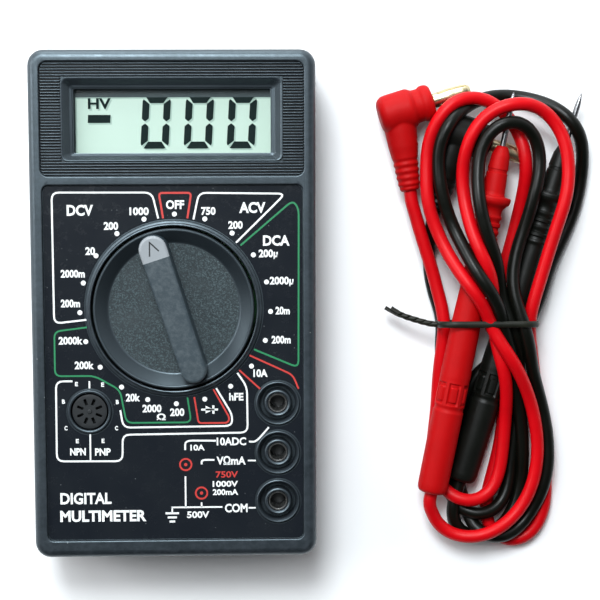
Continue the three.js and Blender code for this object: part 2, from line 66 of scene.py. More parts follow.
CAMERA_AT = Vector((19.2, 36.9, 420.4))
CAMERA_RIGHT = Vector((0.9995, -0.0034, 0.031))
CAMERA_UP = Vector((0.0061, 0.996, -0.0888))


def make_camera():
    data = bpy.data.cameras.new("camera")
    data.lens = 96
    data.clip_start = 0.01
    camera = bpy.data.objects.new("camera", data)
    bpy.context.scene.collection.objects.link(camera)
    right = CAMERA_RIGHT.normalized()
    back = right.cross(CAMERA_UP).normalized()
    up = back.cross(right)
    camera.matrix_world = Matrix.Translation(CAMERA_AT * MM) @ Matrix((right, up, back)).transposed().to_4x4()
    bpy.context.scene.camera = camera


def area_light(name, at, aim, size, power, colour):
    data = bpy.data.lights.new(name, "AREA")
    data.shape = "DISK"
    data.size = size
    data.energy = power
    data.color = colour
    light = bpy.data.objects.new(name, data)
    bpy.context.scene.collection.objects.link(light)
    light.location = at
    light.rotation_euler = (Vector(aim) - Vector(at)).to_track_quat("-Z", "Y").to_euler()


def make_stage():
    half = 3.0
    mesh = bpy.data.meshes.new("floor")
    corners = [(-half, -half, 0), (half, -half, 0), (half, half, 0), (-half, half, 0)]
    mesh.from_pydata(corners, [], [(0, 1, 2, 3)])
    floor = bpy.data.objects.new("floor", mesh)
    bpy.context.scene.collection.objects.link(floor)
    paper = bpy.data.materials.new("floor_paper")
    paper.use_nodes = True
    shader = paper.node_tree.nodes["Principled BSDF"]
    shader.inputs["Base Color"].default_value = (0.97, 0.97, 0.97, 1)
    shader.inputs["Roughness"].default_value = 0.9
    shader.inputs["Specular IOR Level"].default_value = 0.1
    mesh.materials.append(paper)
    make_world()
    area_light("key", (-0.10, 0.50, 0.76), (0.02, 0, 0), 0.30, 5.2, (0.90, 0.96, 1.0))
    area_light("above", (-0.14, 0.31, 0.62), (0.0, 0.02, 0), 0.46, 3.1, (0.92, 0.97, 1.0))
    area_light("far", (-0.10, 0.78, 0.20), (0, 0, 0.02), 0.50, 3.2, (0.90, 0.97, 1.0))
    area_light("left", (-0.60, 0.16, 0.40), (-0.02, 0, 0), 0.40, 2.4, (0.97, 0.98, 1.0))


def make_world():
    """A studio with a dark ceiling, and walls that are brightest behind the far end of the meter."""
    world = bpy.data.worlds.new("studio")
    world.use_nodes = True
    tree = world.node_tree
    background = tree.nodes["Background"]
    background.inputs["Color"].default_value = (0.93, 0.96, 1.0, 1)
    way = tree.nodes.new("ShaderNodeTexCoord")
    parts = tree.nodes.new("ShaderNodeSeparateXYZ")
    both = tree.nodes.new("ShaderNodeMath")
    both.operation = "MULTIPLY"
    tree.links.new(way.outputs["Generated"], parts.inputs[0])
    tree.links.new(both.outputs[0], background.inputs["Strength"])
    for place, (axis, *limits) in enumerate((("Z", 0.2, 0.8, 0.95, 0.09), ("Y", -0.5, 0.6, 0.12, 1.7))):
        fade = tree.nodes.new("ShaderNodeMapRange")
        tree.links.new(parts.outputs[axis], fade.inputs["Value"])
        tree.links.new(fade.outputs[0], both.inputs[place])
        for socket, value in zip(("From Min", "From Max", "To Min", "To Max"), limits):
            fade.inputs[socket].default_value = value
    bpy.context.scene.world = world


# ---------------------------------------------------------------- mesh kit


def new_object(name, data, body, replaces=()):
    """Links a piece to the scene, riding on its body and standing for its CAD nodes."""
    piece = bpy.data.objects.new(name, data)
    bpy.context.scene.collection.objects.link(piece)
    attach(piece, body)
    if replaces:
        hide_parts(*replaces)
    return piece


class Shell:
    """A mesh made of rings of points, in millimetres. Rings that meet are merged when the piece is made."""

    def __init__(self):
        self.points = []
        self.faces = []
        self.finishes = []
        self.finish = 0

    def ring(self, points):
        first = len(self.points)
        self.points.extend(tuple(p) for p in points)
        return list(range(first, len(self.points)))

    def face(self, corners):
        self.faces.append(tuple(corners))
        self.finishes.append(self.finish)

    def skin(self, a, b):
        """Quads between two rings with the same number of points."""
        for i in range(len(a)):
            j = (i + 1) % len(a)
            self.face((a[i], a[j], b[j], b[i]))

    def sweep(self, loops):
        """Skins loop after loop, and returns the first and the last ring."""
        rings = [self.ring(loop) for loop in loops]
        for a, b in zip(rings, rings[1:]):
            self.skin(a, b)
        return rings[0], rings[-1]

    def closed_sweep(self, loops):
        for ring in self.sweep(loops):
            self.face(ring)

    def prism(self, outline, low, high):
        """A solid with a flat outline of (x, y) points, between two heights."""
        self.closed_sweep([[(x, y, z) for x, y in outline] for z in (low, high)])

    def plate(self, outer, *holes):
        """Fills a flat outline and leaves its holes open."""
        loops = [outer, *holes]
        flat = [i for loop in loops for i in loop]
        corners = [[Vector(self.points[i]) for i in loop] for loop in loops]
        for triangle in tessellate_polygon(corners):
            self.face(flat[k] for k in triangle)

    def add(self, other):
        """Takes in another shell."""
        first = len(self.points)
        self.ring(other.points)
        for f in other.faces:
            self.face(first + i for i in f)

    def move(self, matrix):
        self.points = [tuple(matrix @ Vector(p)) for p in self.points]

    def mesh(self, name, materials, sharp=32):
        data = bpy.data.meshes.new(name)
        data.from_pydata([tuple(c * MM for c in p) for p in self.points], [], self.faces)
        data.polygons.foreach_set("material_index", self.finishes)
        for m in materials:
            data.materials.append(m)
        work = bmesh.new()
        work.from_mesh(data)
        bmesh.ops.remove_doubles(work, verts=work.verts, dist=0.002 * MM)
        bmesh.ops.dissolve_degenerate(work, edges=work.edges, dist=0.001 * MM)
        bmesh.ops.recalc_face_normals(work, faces=work.faces)
        work.to_mesh(data)
        work.free()
        data.shade_smooth()
        data.set_sharp_from_angle(angle=math.radians(sharp))
        return data

    def piece(self, name, body, materials, slot=None, replaces=(), sharp=32):
        materials = materials if isinstance(materials, (list, tuple)) else [materials]
        piece = new_object(name, self.mesh(name, materials, sharp), body, replaces)
        even = piece.modifiers.new("even_shading", "WEIGHTED_NORMAL")
        even.keep_sharp = True
        return piece


def rounded(x0, x1, y0, y1, r, z, steps=6):
    """A rectangle with round corners, at height z."""
    centres = [(x1 - r, y1 - r), (x0 + r, y1 - r), (x0 + r, y0 + r), (x1 - r, y0 + r)]
    points = []
    for k, (cx, cy) in enumerate(centres):
        for i in range(steps + 1):
            a = TAU / 4 * (k + i / steps)
            points.append((cx + r * math.cos(a), cy + r * math.sin(a), z))
    return points


def circle(x, y, r, z, sides=64):
    return [(x + r * math.cos(TAU * i / sides), y + r * math.sin(TAU * i / sides), z) for i in range(sides)]


def turned(profile, x=0, y=0, sides=64):
    """The loops of a profile of (radius, height) points turned about an upright axis at (x, y)."""
    return [circle(x, y, max(r, 0.01), z, sides) for r, z in profile]


def ribbon(points, width):
    """The left and the right side of a line of even width with mitred corners."""
    flat = [Vector(p[:2]) for p in points]
    left, right = [], []
    for i, p in enumerate(flat):
        before = flat[i - 1] if i else None
        after = flat[i + 1] if i < len(flat) - 1 else None
        into = (p - before).normalized() if before else (after - p).normalized()
        out = (after - p).normalized() if after else into
        across = Vector((-(into + out).y, (into + out).x)).normalized()
        reach = width / 2 / max(SHARPEST_MITRE, across.dot(Vector((-into.y, into.x))))
        left.append((p.x + across.x * reach, p.y + across.y * reach))
        right.append((p.x - across.x * reach, p.y - across.y * reach))
    return left, right


def flat_line(shell, points, width, low, high):
    """A thin solid line of even width, between two heights."""
    left, right = ribbon(points, width)
    for z in (low, high):
        a, b = [shell.ring([(x, y, z) for x, y in side]) for side in (left, right)]
        for i in range(len(left) - 1):
            shell.face((a[i], a[i + 1], b[i + 1], b[i]))
    outline = left + right[::-1]
    shell.sweep([[(x, y, z) for x, y in outline] for z in (low, high)])


def round_corners(points, r=1.2, steps=4):
    """The same line with each inner corner eased by a small curve."""
    flat = [Vector(p) for p in points]
    eased = [flat[0]]
    for before, p, after in zip(flat, flat[1:], flat[2:]):
        a = p + (before - p).normalized() * min(r, (before - p).length * 0.45)
        b = p + (after - p).normalized() * min(r, (after - p).length * 0.45)
        for i in range(steps + 1):
            t = i / steps
            eased.append(a * (1 - t) ** 2 + p * 2 * t * (1 - t) + b * t * t)
    return eased + [flat[-1]]


# ---------------------------------------------------------------- materials


class Finish:
    """A material built from noise and simple masks in object space."""

    def __init__(self, name, colour, roughness, metallic=0.0):
        self.material = bpy.data.materials.new(name)
        self.material.use_nodes = True
        self.tree = self.material.node_tree
        self.shader = self.tree.nodes["Principled BSDF"]
        self.shader.inputs["Metallic"].default_value = metallic
        self.place = self.node("ShaderNodeTexCoord").outputs["Object"]
        self.colour = (*colour, 1)
        self.rough = roughness
        self.raised = None

    def node(self, kind, **inputs):
        made = self.tree.nodes.new(kind)
        for key, value in inputs.items():
            self.put(made.inputs[key.replace("_", " ")], value)
        return made

    def put(self, socket, value):
        if isinstance(value, bpy.types.NodeSocket):
            self.tree.links.new(value, socket)
        else:
            socket.default_value = value

    def scaled_place(self, size_mm, stretch=(1, 1, 1)):
        """The place on the piece, counted in steps of size_mm."""
        steps = tuple(1 / (size_mm * MM) / s for s in stretch)
        return self.node("ShaderNodeMapping", Vector=self.place, Scale=steps).outputs[0]

    def noise(self, size_mm, detail=2.0, rough=0.5, stretch=(1, 1, 1)):
        """Noise from 0 to 1 with features of about size_mm."""
        place = self.scaled_place(size_mm, stretch)
        made = self.node("ShaderNodeTexNoise", Vector=place, Scale=1.0, Detail=detail, Roughness=rough)
        return made.outputs["Fac"]

    def specks(self, size_mm, share):
        """A mask of small round specks, one in some of the cells of size_mm."""
        cells = self.node("ShaderNodeTexVoronoi", Vector=self.scaled_place(size_mm), Scale=1.0)
        near = self.ramp(cells.outputs["Distance"], 0.10, 0.05)
        draw = self.node("ShaderNodeSeparateColor", Color=cells.outputs["Color"]).outputs[0]
        chosen = self.ramp(draw, 1 - share, 1)
        return self.maths("MULTIPLY", near, self.ramp(chosen, 0.0, 0.01))

    def ramp(self, source, low, high):
        """0 at low and 1 at high, held outside them."""
        made = self.node("ShaderNodeMapRange", Value=source)
        made.inputs["From Min"].default_value = low
        made.inputs["From Max"].default_value = high
        return made.outputs[0]

    def maths(self, operation, a, b):
        made = self.tree.nodes.new("ShaderNodeMath")
        made.operation = operation
        self.put(made.inputs[0], a)
        self.put(made.inputs[1], b)
        return made.outputs[0]

    def height(self):
        """The height of the place, in millimetres."""
        parts = self.node("ShaderNodeSeparateXYZ", Vector=self.place)
        return self.maths("MULTIPLY", parts.outputs["Z"], 1 / MM)

    def tint(self, mask, colour, amount=1.0):
        """Mixes a colour in where the mask is 1."""
        mix = self.tree.nodes.new("ShaderNodeMix")
        mix.data_type = "RGBA"
        self.put(mix.inputs["Factor"], self.maths("MULTIPLY", mask, amount))
        self.put(mix.inputs[6], self.colour)
        self.put(mix.inputs[7], (*colour, 1))
        self.colour = mix.outputs[2]
        return self

    def polish(self, mask, change):
        """Adds change to the roughness where the mask is 1."""
        self.rough = self.maths("ADD", self.rough, self.maths("MULTIPLY", mask, change))
        return self

    def relief(self, mask, depth_mm):
        """Raises the surface by depth_mm where the mask is 1."""
        more = self.maths("MULTIPLY", mask, depth_mm * MM)
        self.raised = more if self.raised is None else self.maths("ADD", self.raised, more)
        return self

    def set(self, **sockets):
        for key, value in sockets.items():
            self.shader.inputs[key.replace("_", " ")].default_value = value
        return self

    def done(self):
        self.put(self.shader.inputs["Base Color"], self.colour)
        self.put(self.shader.inputs["Roughness"], self.rough)
        if self.raised is not None:
            bump = self.node("ShaderNodeBump", Height=self.raised, Distance=1.0)
            self.put(self.shader.inputs["Normal"], bump.outputs[0])
        return self.material


def moulded(name, colour, roughness, grain=0.012, worn=None, dust=0.0):
    """Moulded plastic: a fine grain, cloudy gloss, and wear above a height where it is handled."""
    f = Finish(name, colour, roughness)
    cloudy = f.noise(9, 3)
    f.tint(f.ramp(cloudy, 0.35, 0.7), tuple(c * 1.25 + 0.002 for c in colour), 0.5)
    f.polish(f.ramp(cloudy, 0.3, 0.7), 0.07)
    f.relief(f.noise(0.35, 3, 0.6), grain)
    if worn:
        low, high, shade = worn
        patchy = f.ramp(f.noise(1.6, 5, 0.7), 0.42, 0.66)
        rubbed = f.maths("MULTIPLY", f.ramp(f.height(), low, high), patchy)
        f.tint(rubbed, shade, 0.55)
        f.polish(rubbed, -0.08)
    if dust:
        f.tint(f.specks(1.7, dust), (0.35, 0.37, 0.38), 0.8)
    return f


def vinyl(name, colour, roughness, deep, specular=0.22):
    """Soft glossy lead covering with slight waves."""
    f = Finish(name, colour, roughness)
    waves = f.noise(6, 2)
    f.tint(f.ramp(waves, 0.35, 0.75), deep, 0.45)
    f.polish(f.ramp(f.noise(1.2, 4, 0.6), 0.3, 0.75), 0.10)
    f.relief(f.noise(2.2, 3), 0.02)
    f.relief(f.noise(0.25, 2), 0.004)
    return f.set(Specular_IOR_Level=specular)


def metal(name, colour, roughness, tarnish):
    """Plated metal with fine streaks and a little tarnish."""
    f = Finish(name, colour, roughness, 1.0)
    f.tint(f.ramp(f.noise(1.6, 4, 0.65), 0.45, 0.75), tarnish, 0.7)
    streaks = f.noise(0.12, 3, 0.6, stretch=(1, 1, 6))
    f.polish(f.ramp(streaks, 0.35, 0.7), 0.14)
    f.relief(streaks, 0.003)
    return f


def clear(name, colour, alpha):
    f = Finish(name, colour, 0.04)
    f.polish(f.ramp(f.noise(3, 4, 0.6), 0.5, 0.8), 0.05)
    f.set(Alpha=alpha, IOR=1.49)
    return f


# key, material name, colour, roughness and grain of the plain mouldings
PLAIN = (
    ("insert", "inner_plastic", (0.0050, 0.0072, 0.0088), 0.5, 0.012),
    ("pointer", "pointer_paint", (0.235, 0.255, 0.27), 0.45, 0.008),
    # painted shadow: the dark band along the display's top and left, where the window's frame shades it
    ("lcd_painted_shadow", "lcd_painted_shadow", (0.014, 0.033, 0.037), 0.4, 0.0),
    ("segment_shadow", "lcd_segment_shadow", (0.33, 0.47, 0.40), 0.4, 0.0),
    ("silicone", "silicone", (0.10, 0.10, 0.11), 0.7, 0.012),
    ("epoxy", "epoxy_black", (0.008, 0.008, 0.009), 0.18, 0.0),
    ("resistor", "resistor_body", (0.55, 0.40, 0.22), 0.35, 0.004),
    ("capacitor", "capacitor_body", (0.03, 0.17, 0.09), 0.3, 0.004),
    ("pot", "pot_body", (0.022, 0.09, 0.36), 0.35, 0.004),
    ("battery", "battery_sleeve", (0.06, 0.065, 0.075), 0.3, 0.004),
)
# key, material name, colour, roughness, deeper colour and specular level of the leads
VINYLS = (
    ("red_lead", "red_vinyl", (0.56, 0.0014, 0.0050), 0.36, (0.42, 0.001, 0.003), 0.17),
    ("black_lead", "black_vinyl", (0.0025, 0.0030, 0.0019), 0.31, (0.0045, 0.0052, 0.0035), 0.22),
    ("red_plug", "red_moulding", (0.42, 0.0014, 0.0022), 0.50, (0.33, 0.001, 0.0015), 0.13),
    ("black_plug", "black_moulding", (0.0028, 0.0034, 0.0024), 0.38, (0.006, 0.0068, 0.005), 0.22),
    ("tie", "tie_plastic", (0.0075, 0.0085, 0.0055), 0.40, (0.030, 0.030, 0.020), 0.22),
)
# key, material name, colour, roughness and tarnish
METALS = (
    ("brass", "brass_contact", (0.72, 0.55, 0.27), 0.26, (0.35, 0.24, 0.10)),
    ("pin", "pin_brass", (0.70, 0.60, 0.38), 0.24, (0.30, 0.24, 0.14)),
    ("needle", "needle_steel", (0.27, 0.27, 0.28), 0.20, (0.10, 0.10, 0.10)),
    ("steel", "plated_steel", (0.62, 0.63, 0.65), 0.26, (0.38, 0.38, 0.38)),
    ("sleeve", "jack_plating", (0.50, 0.50, 0.49), 0.24, (0.16, 0.15, 0.13)),
    ("shunt", "shunt_alloy", (0.60, 0.42, 0.30), 0.3, (0.35, 0.22, 0.14)),
)
INKS = {"white": (0.82, 0.84, 0.83), "red": (0.52, 0.035, 0.028), "green": (0.012, 0.20, 0.075)}
BLUE_SHEEN = {"Specular_IOR_Level": 1.0, "Specular_Tint": (0.72, 0.9, 1.0, 1)}
SCUFFED = (0.05, 0.06, 0.07)


def case_materials(made):
    case = moulded("case_plastic", (0.0090, 0.0116, 0.0147), 0.37, worn=(23.2, 24.1, SCUFFED), dust=0.06)
    made["case"] = case.set(**BLUE_SHEEN).done()
    ribs = moulded("rib_plastic", (0.0050, 0.0074, 0.0104), 0.34, worn=(23.45, 23.65, SCUFFED))
    made["ribs"] = ribs.set(**BLUE_SHEEN).set(Specular_IOR_Level=0.75).done()
    film = Finish("label_film", (0.0085, 0.0110, 0.0150), 0.24)
    film.tint(film.ramp(film.noise(14, 3), 0.4, 0.7), (0.0125, 0.0155, 0.019), 0.7)
    film.relief(film.noise(0.22, 3, 0.7), 0.008)
    film.relief(film.noise(5, 2), 0.02)
    film.tint(film.specks(1.25, 0.10), (0.22, 0.24, 0.25), 0.8)
    film.polish(film.ramp(film.noise(2.5, 5, 0.7), 0.5, 0.8), 0.12)
    made["label"] = film.set(Specular_IOR_Level=0.28).done()
    for name, colour in INKS.items():
        ink = Finish(f"{name}_ink", colour, 0.5)
        ink.tint(ink.ramp(ink.noise(0.5, 3, 0.7), 0.5, 0.85), tuple(c * 0.72 for c in colour), 0.5)
        made[name] = ink.done()


def knob_materials(made):
    knob = Finish("knob_plastic", (0.0105, 0.0210, 0.0255), 0.62)
    grit = knob.noise(0.42, 3, 0.75)
    knob.tint(knob.ramp(grit, 0.50, 0.64), (0.068, 0.105, 0.114), 0.8)
    knob.tint(knob.ramp(grit, 0.46, 0.34), (0.007, 0.012, 0.014), 0.8)
    knob.tint(knob.ramp(knob.noise(7, 3), 0.45, 0.7), (0.024, 0.036, 0.041), 0.5)
    knob.relief(grit, 0.09)
    made["knob"] = knob.done()
    bar = moulded("knob_bar_plastic", (0.022, 0.036, 0.045), 0.46, 0.006, worn=(27, 28, (0.09, 0.11, 0.12)))
    made["knob_bar"] = bar.done()
    rim = moulded("knob_rim_plastic", (0.011, 0.0145, 0.0175), 0.36, 0.006)
    made["knob_rim"] = rim.set(**BLUE_SHEEN).done()


def display_materials(made):
    glass = Finish("lcd_glass", (0.54, 0.71, 0.60), 0.30)
    glass.tint(glass.ramp(glass.noise(18, 2), 0.35, 0.7), (0.585, 0.75, 0.66), 0.6)
    glass.tint(glass.noise(0.3, 2), (0.56, 0.73, 0.62), 0.3)
    made["lcd"] = glass.done()
    ink = moulded("lcd_segment", (0.005, 0.013, 0.012), 0.6, grain=0.0)
    made["segment"] = ink.set(Specular_IOR_Level=0.05).done()
    made["lens"] = clear("display_lens_clear", (0.04, 0.05, 0.05), 0.06).done()


def make_materials():
    made = {}
    case_materials(made)
    knob_materials(made)
    display_materials(made)
    board = Finish("board_laminate", (0.018, 0.105, 0.035), 0.32)
    tracks = board.ramp(board.noise(3.2, 1, 0.2), 0.52, 0.54)
    board.tint(tracks, (0.035, 0.17, 0.06), 0.9)
    board.relief(tracks, 0.03)
    made["board"] = board.done()
    made["fuse"] = clear("fuse_tube", (0.9, 0.95, 0.95), 0.25).done()
    for key, name, colour, roughness, grain in PLAIN:
        made[key] = moulded(name, colour, roughness, grain).done()
    for rows, kind in ((VINYLS, vinyl), (METALS, metal)):
        for key, *looks in rows:
            made[key] = kind(*looks).done()
    return made


LOOK = make_materials()


# ---------------------------------------------------------------- sizes, in millimetres

CASE_LOW, CASE_HIGH = box_mm("front_case")
HALF_X = CASE_HIGH.x
HALF_Y = CASE_HIGH.y
SEAM_TOP = CASE_LOW.z
TOP = box_mm("lcd_frame")[1].z + 3.3  # the rim round the front panel
COVER_TOP = box_mm("rear_cover")[1].z
CORNER = 3.5
WALL = 2.0
ROUND = 2.0  # the rounding of the rim's outer edge
DRAFT = 0.42  # how far the front case leans out between its seam and its rim
EDGE = 0.3  # the rounding of the recess edges
PANEL_UNDER = 21.3
WELL_UNDER = 17.0  # how low the wells of the dial and the jacks reach
LABEL_FLOOR = 22.9
RIB_FLOOR, RIB_TOP = 23.0, 23.6
LABEL_X, LABEL_Y0, LABEL_Y1 = 32.2, -59.0, 30.2
RIBS_X, RIBS_Y0, RIBS_Y1 = 32.5, 32.3, 60.5
WINDOW_X, WINDOW_Y0, WINDOW_Y1 = 24.3, 38.0, 53.8
DIAL_Y = -0.5
DIAL_TURN = math.radians(18)
DIAL_STEPS = 20
JACK_X = 25.7
JACK_YS = (-24.5, -37.0, -49.4)
JACK_RING = 5.5
SOCKET_X, SOCKET_Y = -21.3, -26.3
SCREWS = ((-28.5, 27.0), (28.5, 27.0))
BOARD_SCREWS = ((-28.5, 8.0), (28.5, 8.0), (6.0, -29.3))


# ---------------------------------------------------------------- case


def case_outline(inset, z):
    r = max(0.4, CORNER - inset)
    return rounded(inset - HALF_X, HALF_X - inset, inset - HALF_Y, HALF_Y - inset, r, z)


def case_inside(z):
    return rounded(WALL - HALF_X, HALF_X - WALL, WALL - HALF_Y, HALF_Y - WALL, 1.5, z)


def recess(shell, x, y0, y1, r, floor):
    """The wall of a recess in the front panel. Returns the ring of its upper edge and that of its floor."""
    profile = [(EDGE - EDGE * math.sin(a), TOP - EDGE + EDGE * math.cos(a))
               for a in (0, 0.4, 0.8, 1.2, TAU / 4)]
    profile += [(0, floor + 0.12), (-0.05, floor + 0.03), (-0.12, floor)]
    loops = [rounded(-x - out, x + out, y0 - out, y1 + out, r + out, z) for out, z in profile]
    return shell.sweep(loops)


def dial_ring(shell):
    """The raised lip round the knob, from the label floor over its top and down to the underside."""
    profile = [(22.4, LABEL_FLOOR), (22.05, 22.94), (21.9, 23.1), (21.88, 23.5), (21.8, 23.6), (21.6, 23.62)]
    profile += [(21.36, 23.7), (21.2, 23.98), (21.05, 24.15), (20.86, 24.2), (20.68, 24.12), (20.6, 23.9)]
    profile += [(20.6, WELL_UNDER), (22.9, WELL_UNDER), (22.9, PANEL_UNDER)]
    return shell.sweep(turned(profile, 0, DIAL_Y, 120))


def jack_ring(shell, y):
    """The ring, well and middle post round a jack."""
    profile = [(JACK_RING + 0.4, LABEL_FLOOR), (5.56, 22.95), (JACK_RING, 23.1), (5.48, 23.35)]
    profile += [(5.4, 23.52), (5.24, 23.6), (5.08, 23.56), (4.98, 23.42), (4.62, 22.9), (4.5, 22.7)]
    profile += [(4.5, 20.7), (4.4, 20.6), (3.6, 20.6), (3.5, 20.7), (3.5, 22.8), (3.43, 23.15), (3.25, 23.4)]
    profile += [(3.0, 23.5), (2.75, 23.42), (2.55, 23.2), (2.46, 22.9), (2.46, WELL_UNDER)]
    profile += [(JACK_RING, WELL_UNDER), (JACK_RING, PANEL_UNDER)]
    return shell.sweep(turned(profile, JACK_X, y, 56))


def socket_ring(shell):
    profile = [(5.9, LABEL_FLOOR), (5.56, 22.95), (5.5, 23.1), (5.48, 23.35), (5.38, 23.54), (5.2, 23.6)]
    profile += [(5.0, 23.58), (4.82, 23.5), (4.7, 23.3), (4.7, 19.5), (5.5, 19.5), (5.5, PANEL_UNDER)]
    return shell.sweep(turned(profile, SOCKET_X, SOCKET_Y, 56))


def display_funnel(shell):
    """The sloped frame down to the display window. Returns its top ring and its ring at the underside."""
    steps = [(3.05, RIB_FLOOR, 1.6), (3.0, RIB_TOP - 0.12, 1.6), (2.85, RIB_TOP, 1.5)]
    steps += [(2.6, RIB_TOP - 0.02, 1.4), (2.35, RIB_TOP - 0.2, 1.3), (1.15, 22.12, 0.9), (0.95, 22.0, 0.8)]
    steps += [(0.45, 21.98, 0.6), (0.3, 21.9, 0.5), (0.22, 21.7, 0.45), (0.0, 21.66, 0.3)]
    steps += [(0.0, PANEL_UNDER, 0.3)]
    loops = [
        rounded(-WINDOW_X - out, WINDOW_X + out, WINDOW_Y0 - out * 0.66, WINDOW_Y1 + out * 0.95, r, z)
        for out, z, r in steps
    ]
    return shell.sweep(loops)


def post(shell, x, y, r, hole, low, high, depth):
    """A round post with a blind hole in its lower end."""
    profile = [(0, high), (r, high), (r, low + 0.15), (r - 0.15, low), (hole + 0.15, low), (hole, low + 0.15)]
    profile += [(hole, depth), (0, depth)]
    shell.closed_sweep(turned(profile, x, y, 24))


def front_case():
    shell = Shell()
    outer = [(0.35, SEAM_TOP), (0.1, SEAM_TOP + 0.05), (0, SEAM_TOP + 0.3), (-DRAFT, TOP - ROUND)]
    outer += [(ROUND * (1 - math.cos(a)) - DRAFT, TOP - ROUND + ROUND * math.sin(a))
              for a in np.linspace(0.12, TAU / 4, 9)]
    foot, rim = shell.sweep([case_outline(inset, z) for inset, z in outer])
    label_edge, label_floor = recess(shell, LABEL_X, LABEL_Y0, LABEL_Y1, 1.6, LABEL_FLOOR)
    rib_edge, rib_floor = recess(shell, RIBS_X, RIBS_Y0, RIBS_Y1, 2.0, RIB_FLOOR)
    shell.plate(rim, label_edge, rib_edge)
    dial_top, dial_under = dial_ring(shell)
    jacks = [jack_ring(shell, y) for y in JACK_YS]
    socket_top, socket_under = socket_ring(shell)
    shell.plate(label_floor, dial_top, socket_top, *[top for top, _ in jacks])
    funnel_top, funnel_under = display_funnel(shell)
    shell.plate(rib_floor, funnel_top)
    inner_foot, under = shell.sweep([case_inside(z) for z in (SEAM_TOP, PANEL_UNDER)])
    shell.skin(foot, inner_foot)
    shell.plate(under, dial_under, socket_under, funnel_under, *[low for _, low in jacks])
    for x, y in SCREWS:
        post(shell, x, y, 3.0, 1.5, SEAM_TOP, PANEL_UNDER + 0.5, 18.8)
    for x, y in BOARD_SCREWS:
        post(shell, x, y, 2.4, 1.2, 16.3, PANEL_UNDER + 0.5, 20.8)
    shell.piece("front_case_shell", "meter", LOOK["case"], "case_plastic", ["front_case"])


def display_ribs():
    """The fine ribs across the display end, broken where the display frame stands, with painted shade in the
    grooves between them.
    """
    shell = Shell()
    count = 39
    pitch = (RIBS_Y1 - RIBS_Y0 - 0.3) / count
    bump = [(-0.25, 0), (-0.21, 0.36), (-0.14, 0.54), (0, 0.6), (0.14, 0.54), (0.21, 0.36), (0.25, 0)]
    gap = (WINDOW_X + 2.95, WINDOW_Y0 - 2.2, WINDOW_Y1 + 3.0)
    for i in range(count):
        y = RIBS_Y0 + 0.15 + pitch * (i + 0.5)
        corner = 2.0
        into = max(0.0, abs(y - (RIBS_Y0 + RIBS_Y1) / 2) - ((RIBS_Y1 - RIBS_Y0) / 2 - corner))
        end = RIBS_X - corner + math.sqrt(max(0.0, corner**2 - into**2)) - 0.1
        blocked = gap[1] < y < gap[2]
        for x0, x1 in [(-end, -gap[0]), (gap[0], end)] if blocked else [(-end, end)]:
            loops = [
                [(x, y + u * narrow, RIB_FLOOR - 0.02 + h * narrow) for u, h in bump]
                for x, narrow in ((x0, 0.75), (x0 + 0.25, 1), (x1 - 0.25, 1), (x1, 0.75))
            ]
            shell.closed_sweep(loops)
            # a dark, duller sheet under each rib, seen only in the grooves: painted shade between the ribs
            shell.finish = 1
            groove_shade_sheet = [(x0, y - pitch / 2), (x1, y - pitch / 2), (x1, y + pitch / 2), (x0, y + pitch / 2)]
            shell.prism(groove_shade_sheet, RIB_FLOOR - 0.02, RIB_FLOOR + 0.03)
            shell.finish = 0
    looks = [LOOK["ribs"], LOOK["insert"]]
    shell.piece("display_surround_ribs", "meter", looks, "case_plastic", sharp=50)


def rear_cover():
    shell = Shell()
    outer = [(ROUND * (1 - math.cos(a)), ROUND * (1 - math.sin(a))) for a in np.linspace(TAU / 4, 0, 9)]
    outer += [(0, COVER_TOP - 0.3), (0.1, COVER_TOP - 0.05), (0.35, COVER_TOP)]
    base, seam = shell.sweep([case_outline(inset, z) for inset, z in outer])
    lip, floor = shell.sweep([case_inside(z) for z in (COVER_TOP, WALL)])
    shell.skin(seam, lip)
    wells, posts = [], []
    for x, y in SCREWS:
        well = [(3.25, 0), (3.05, 0.08), (3.0, 0.25), (3.0, 3.4), (1.5, 3.4), (1.5, COVER_TOP - 0.5)]
        well += [(1.65, COVER_TOP - 0.3), (3.7, COVER_TOP - 0.3), (3.9, COVER_TOP - 0.5), (3.9, WALL)]
        low, high = shell.sweep(turned(well, x, y, 40))
        wells.append(low)
        posts.append(high)
    plates = []
    for x0, x1, y0, y1, depth in ((-26, 26, -20, 14, 0.3), (-14, 14, -52, -36, 0.25)):
        loops = [rounded(x0 + i, x1 - i, y0 + i, y1 - i, 2 - i, z)
                 for i, z in ((-0.12, 0), (0, 0.1), (0, depth))]
        edge, deep = shell.sweep(loops)
        shell.face(deep)
        plates.append(edge)
    shell.plate(base, *wells, *plates)
    shell.plate(floor, *posts)
    rib = [rounded(-33.2, 17.3, -33.3 + i, -31.9 - i, 0.3, z) for i, z in ((0, 1.9), (0, 9.9), (0.2, 10.2))]
    shell.closed_sweep(rib)
    shell.piece("rear_cover_shell", "rear_cover", LOOK["case"], "case_plastic", ["rear_cover"])


def cross_screw(name, x, y):
    """A pan-head screw seen from below, with a cross recess."""
    head, shank, foot, tip = 2.6, 1.2, 1.4, 18.5
    shell = Shell()
    top = foot + 1.7
    edge, low = shell.sweep(turned([(head * 0.82, foot + 0.14), (head * 0.96, foot + 0.4), (head, foot + 0.8),
                                    (head, top), (shank, top), (shank, tip - 1), (0.01, tip)], x, y, 28))
    crown = shell.ring(circle(x, y, head * 0.66, foot + 0.02, 28))
    shell.skin(crown, edge)
    arm, half = head * 0.52, head * 0.11
    star = [(half, arm), (-half, arm), (-half, half), (-arm, half), (-arm, -half), (-half, -half)]
    star += [(-x, -y) for x, y in star]
    slot_top, slot_floor = shell.sweep([[(x + u * k, y + v * k, z) for u, v in star]
                                        for k, z in ((1, foot + 0.02), (0.8, foot + 0.9))])
    shell.plate(crown, slot_top)
    shell.face(slot_floor)
    shell.face(low)
    shell.piece(f"{name}_cross", name, LOOK["steel"], "plated_steel", [name])


# ---------------------------------------------------------------- front panel label and its print

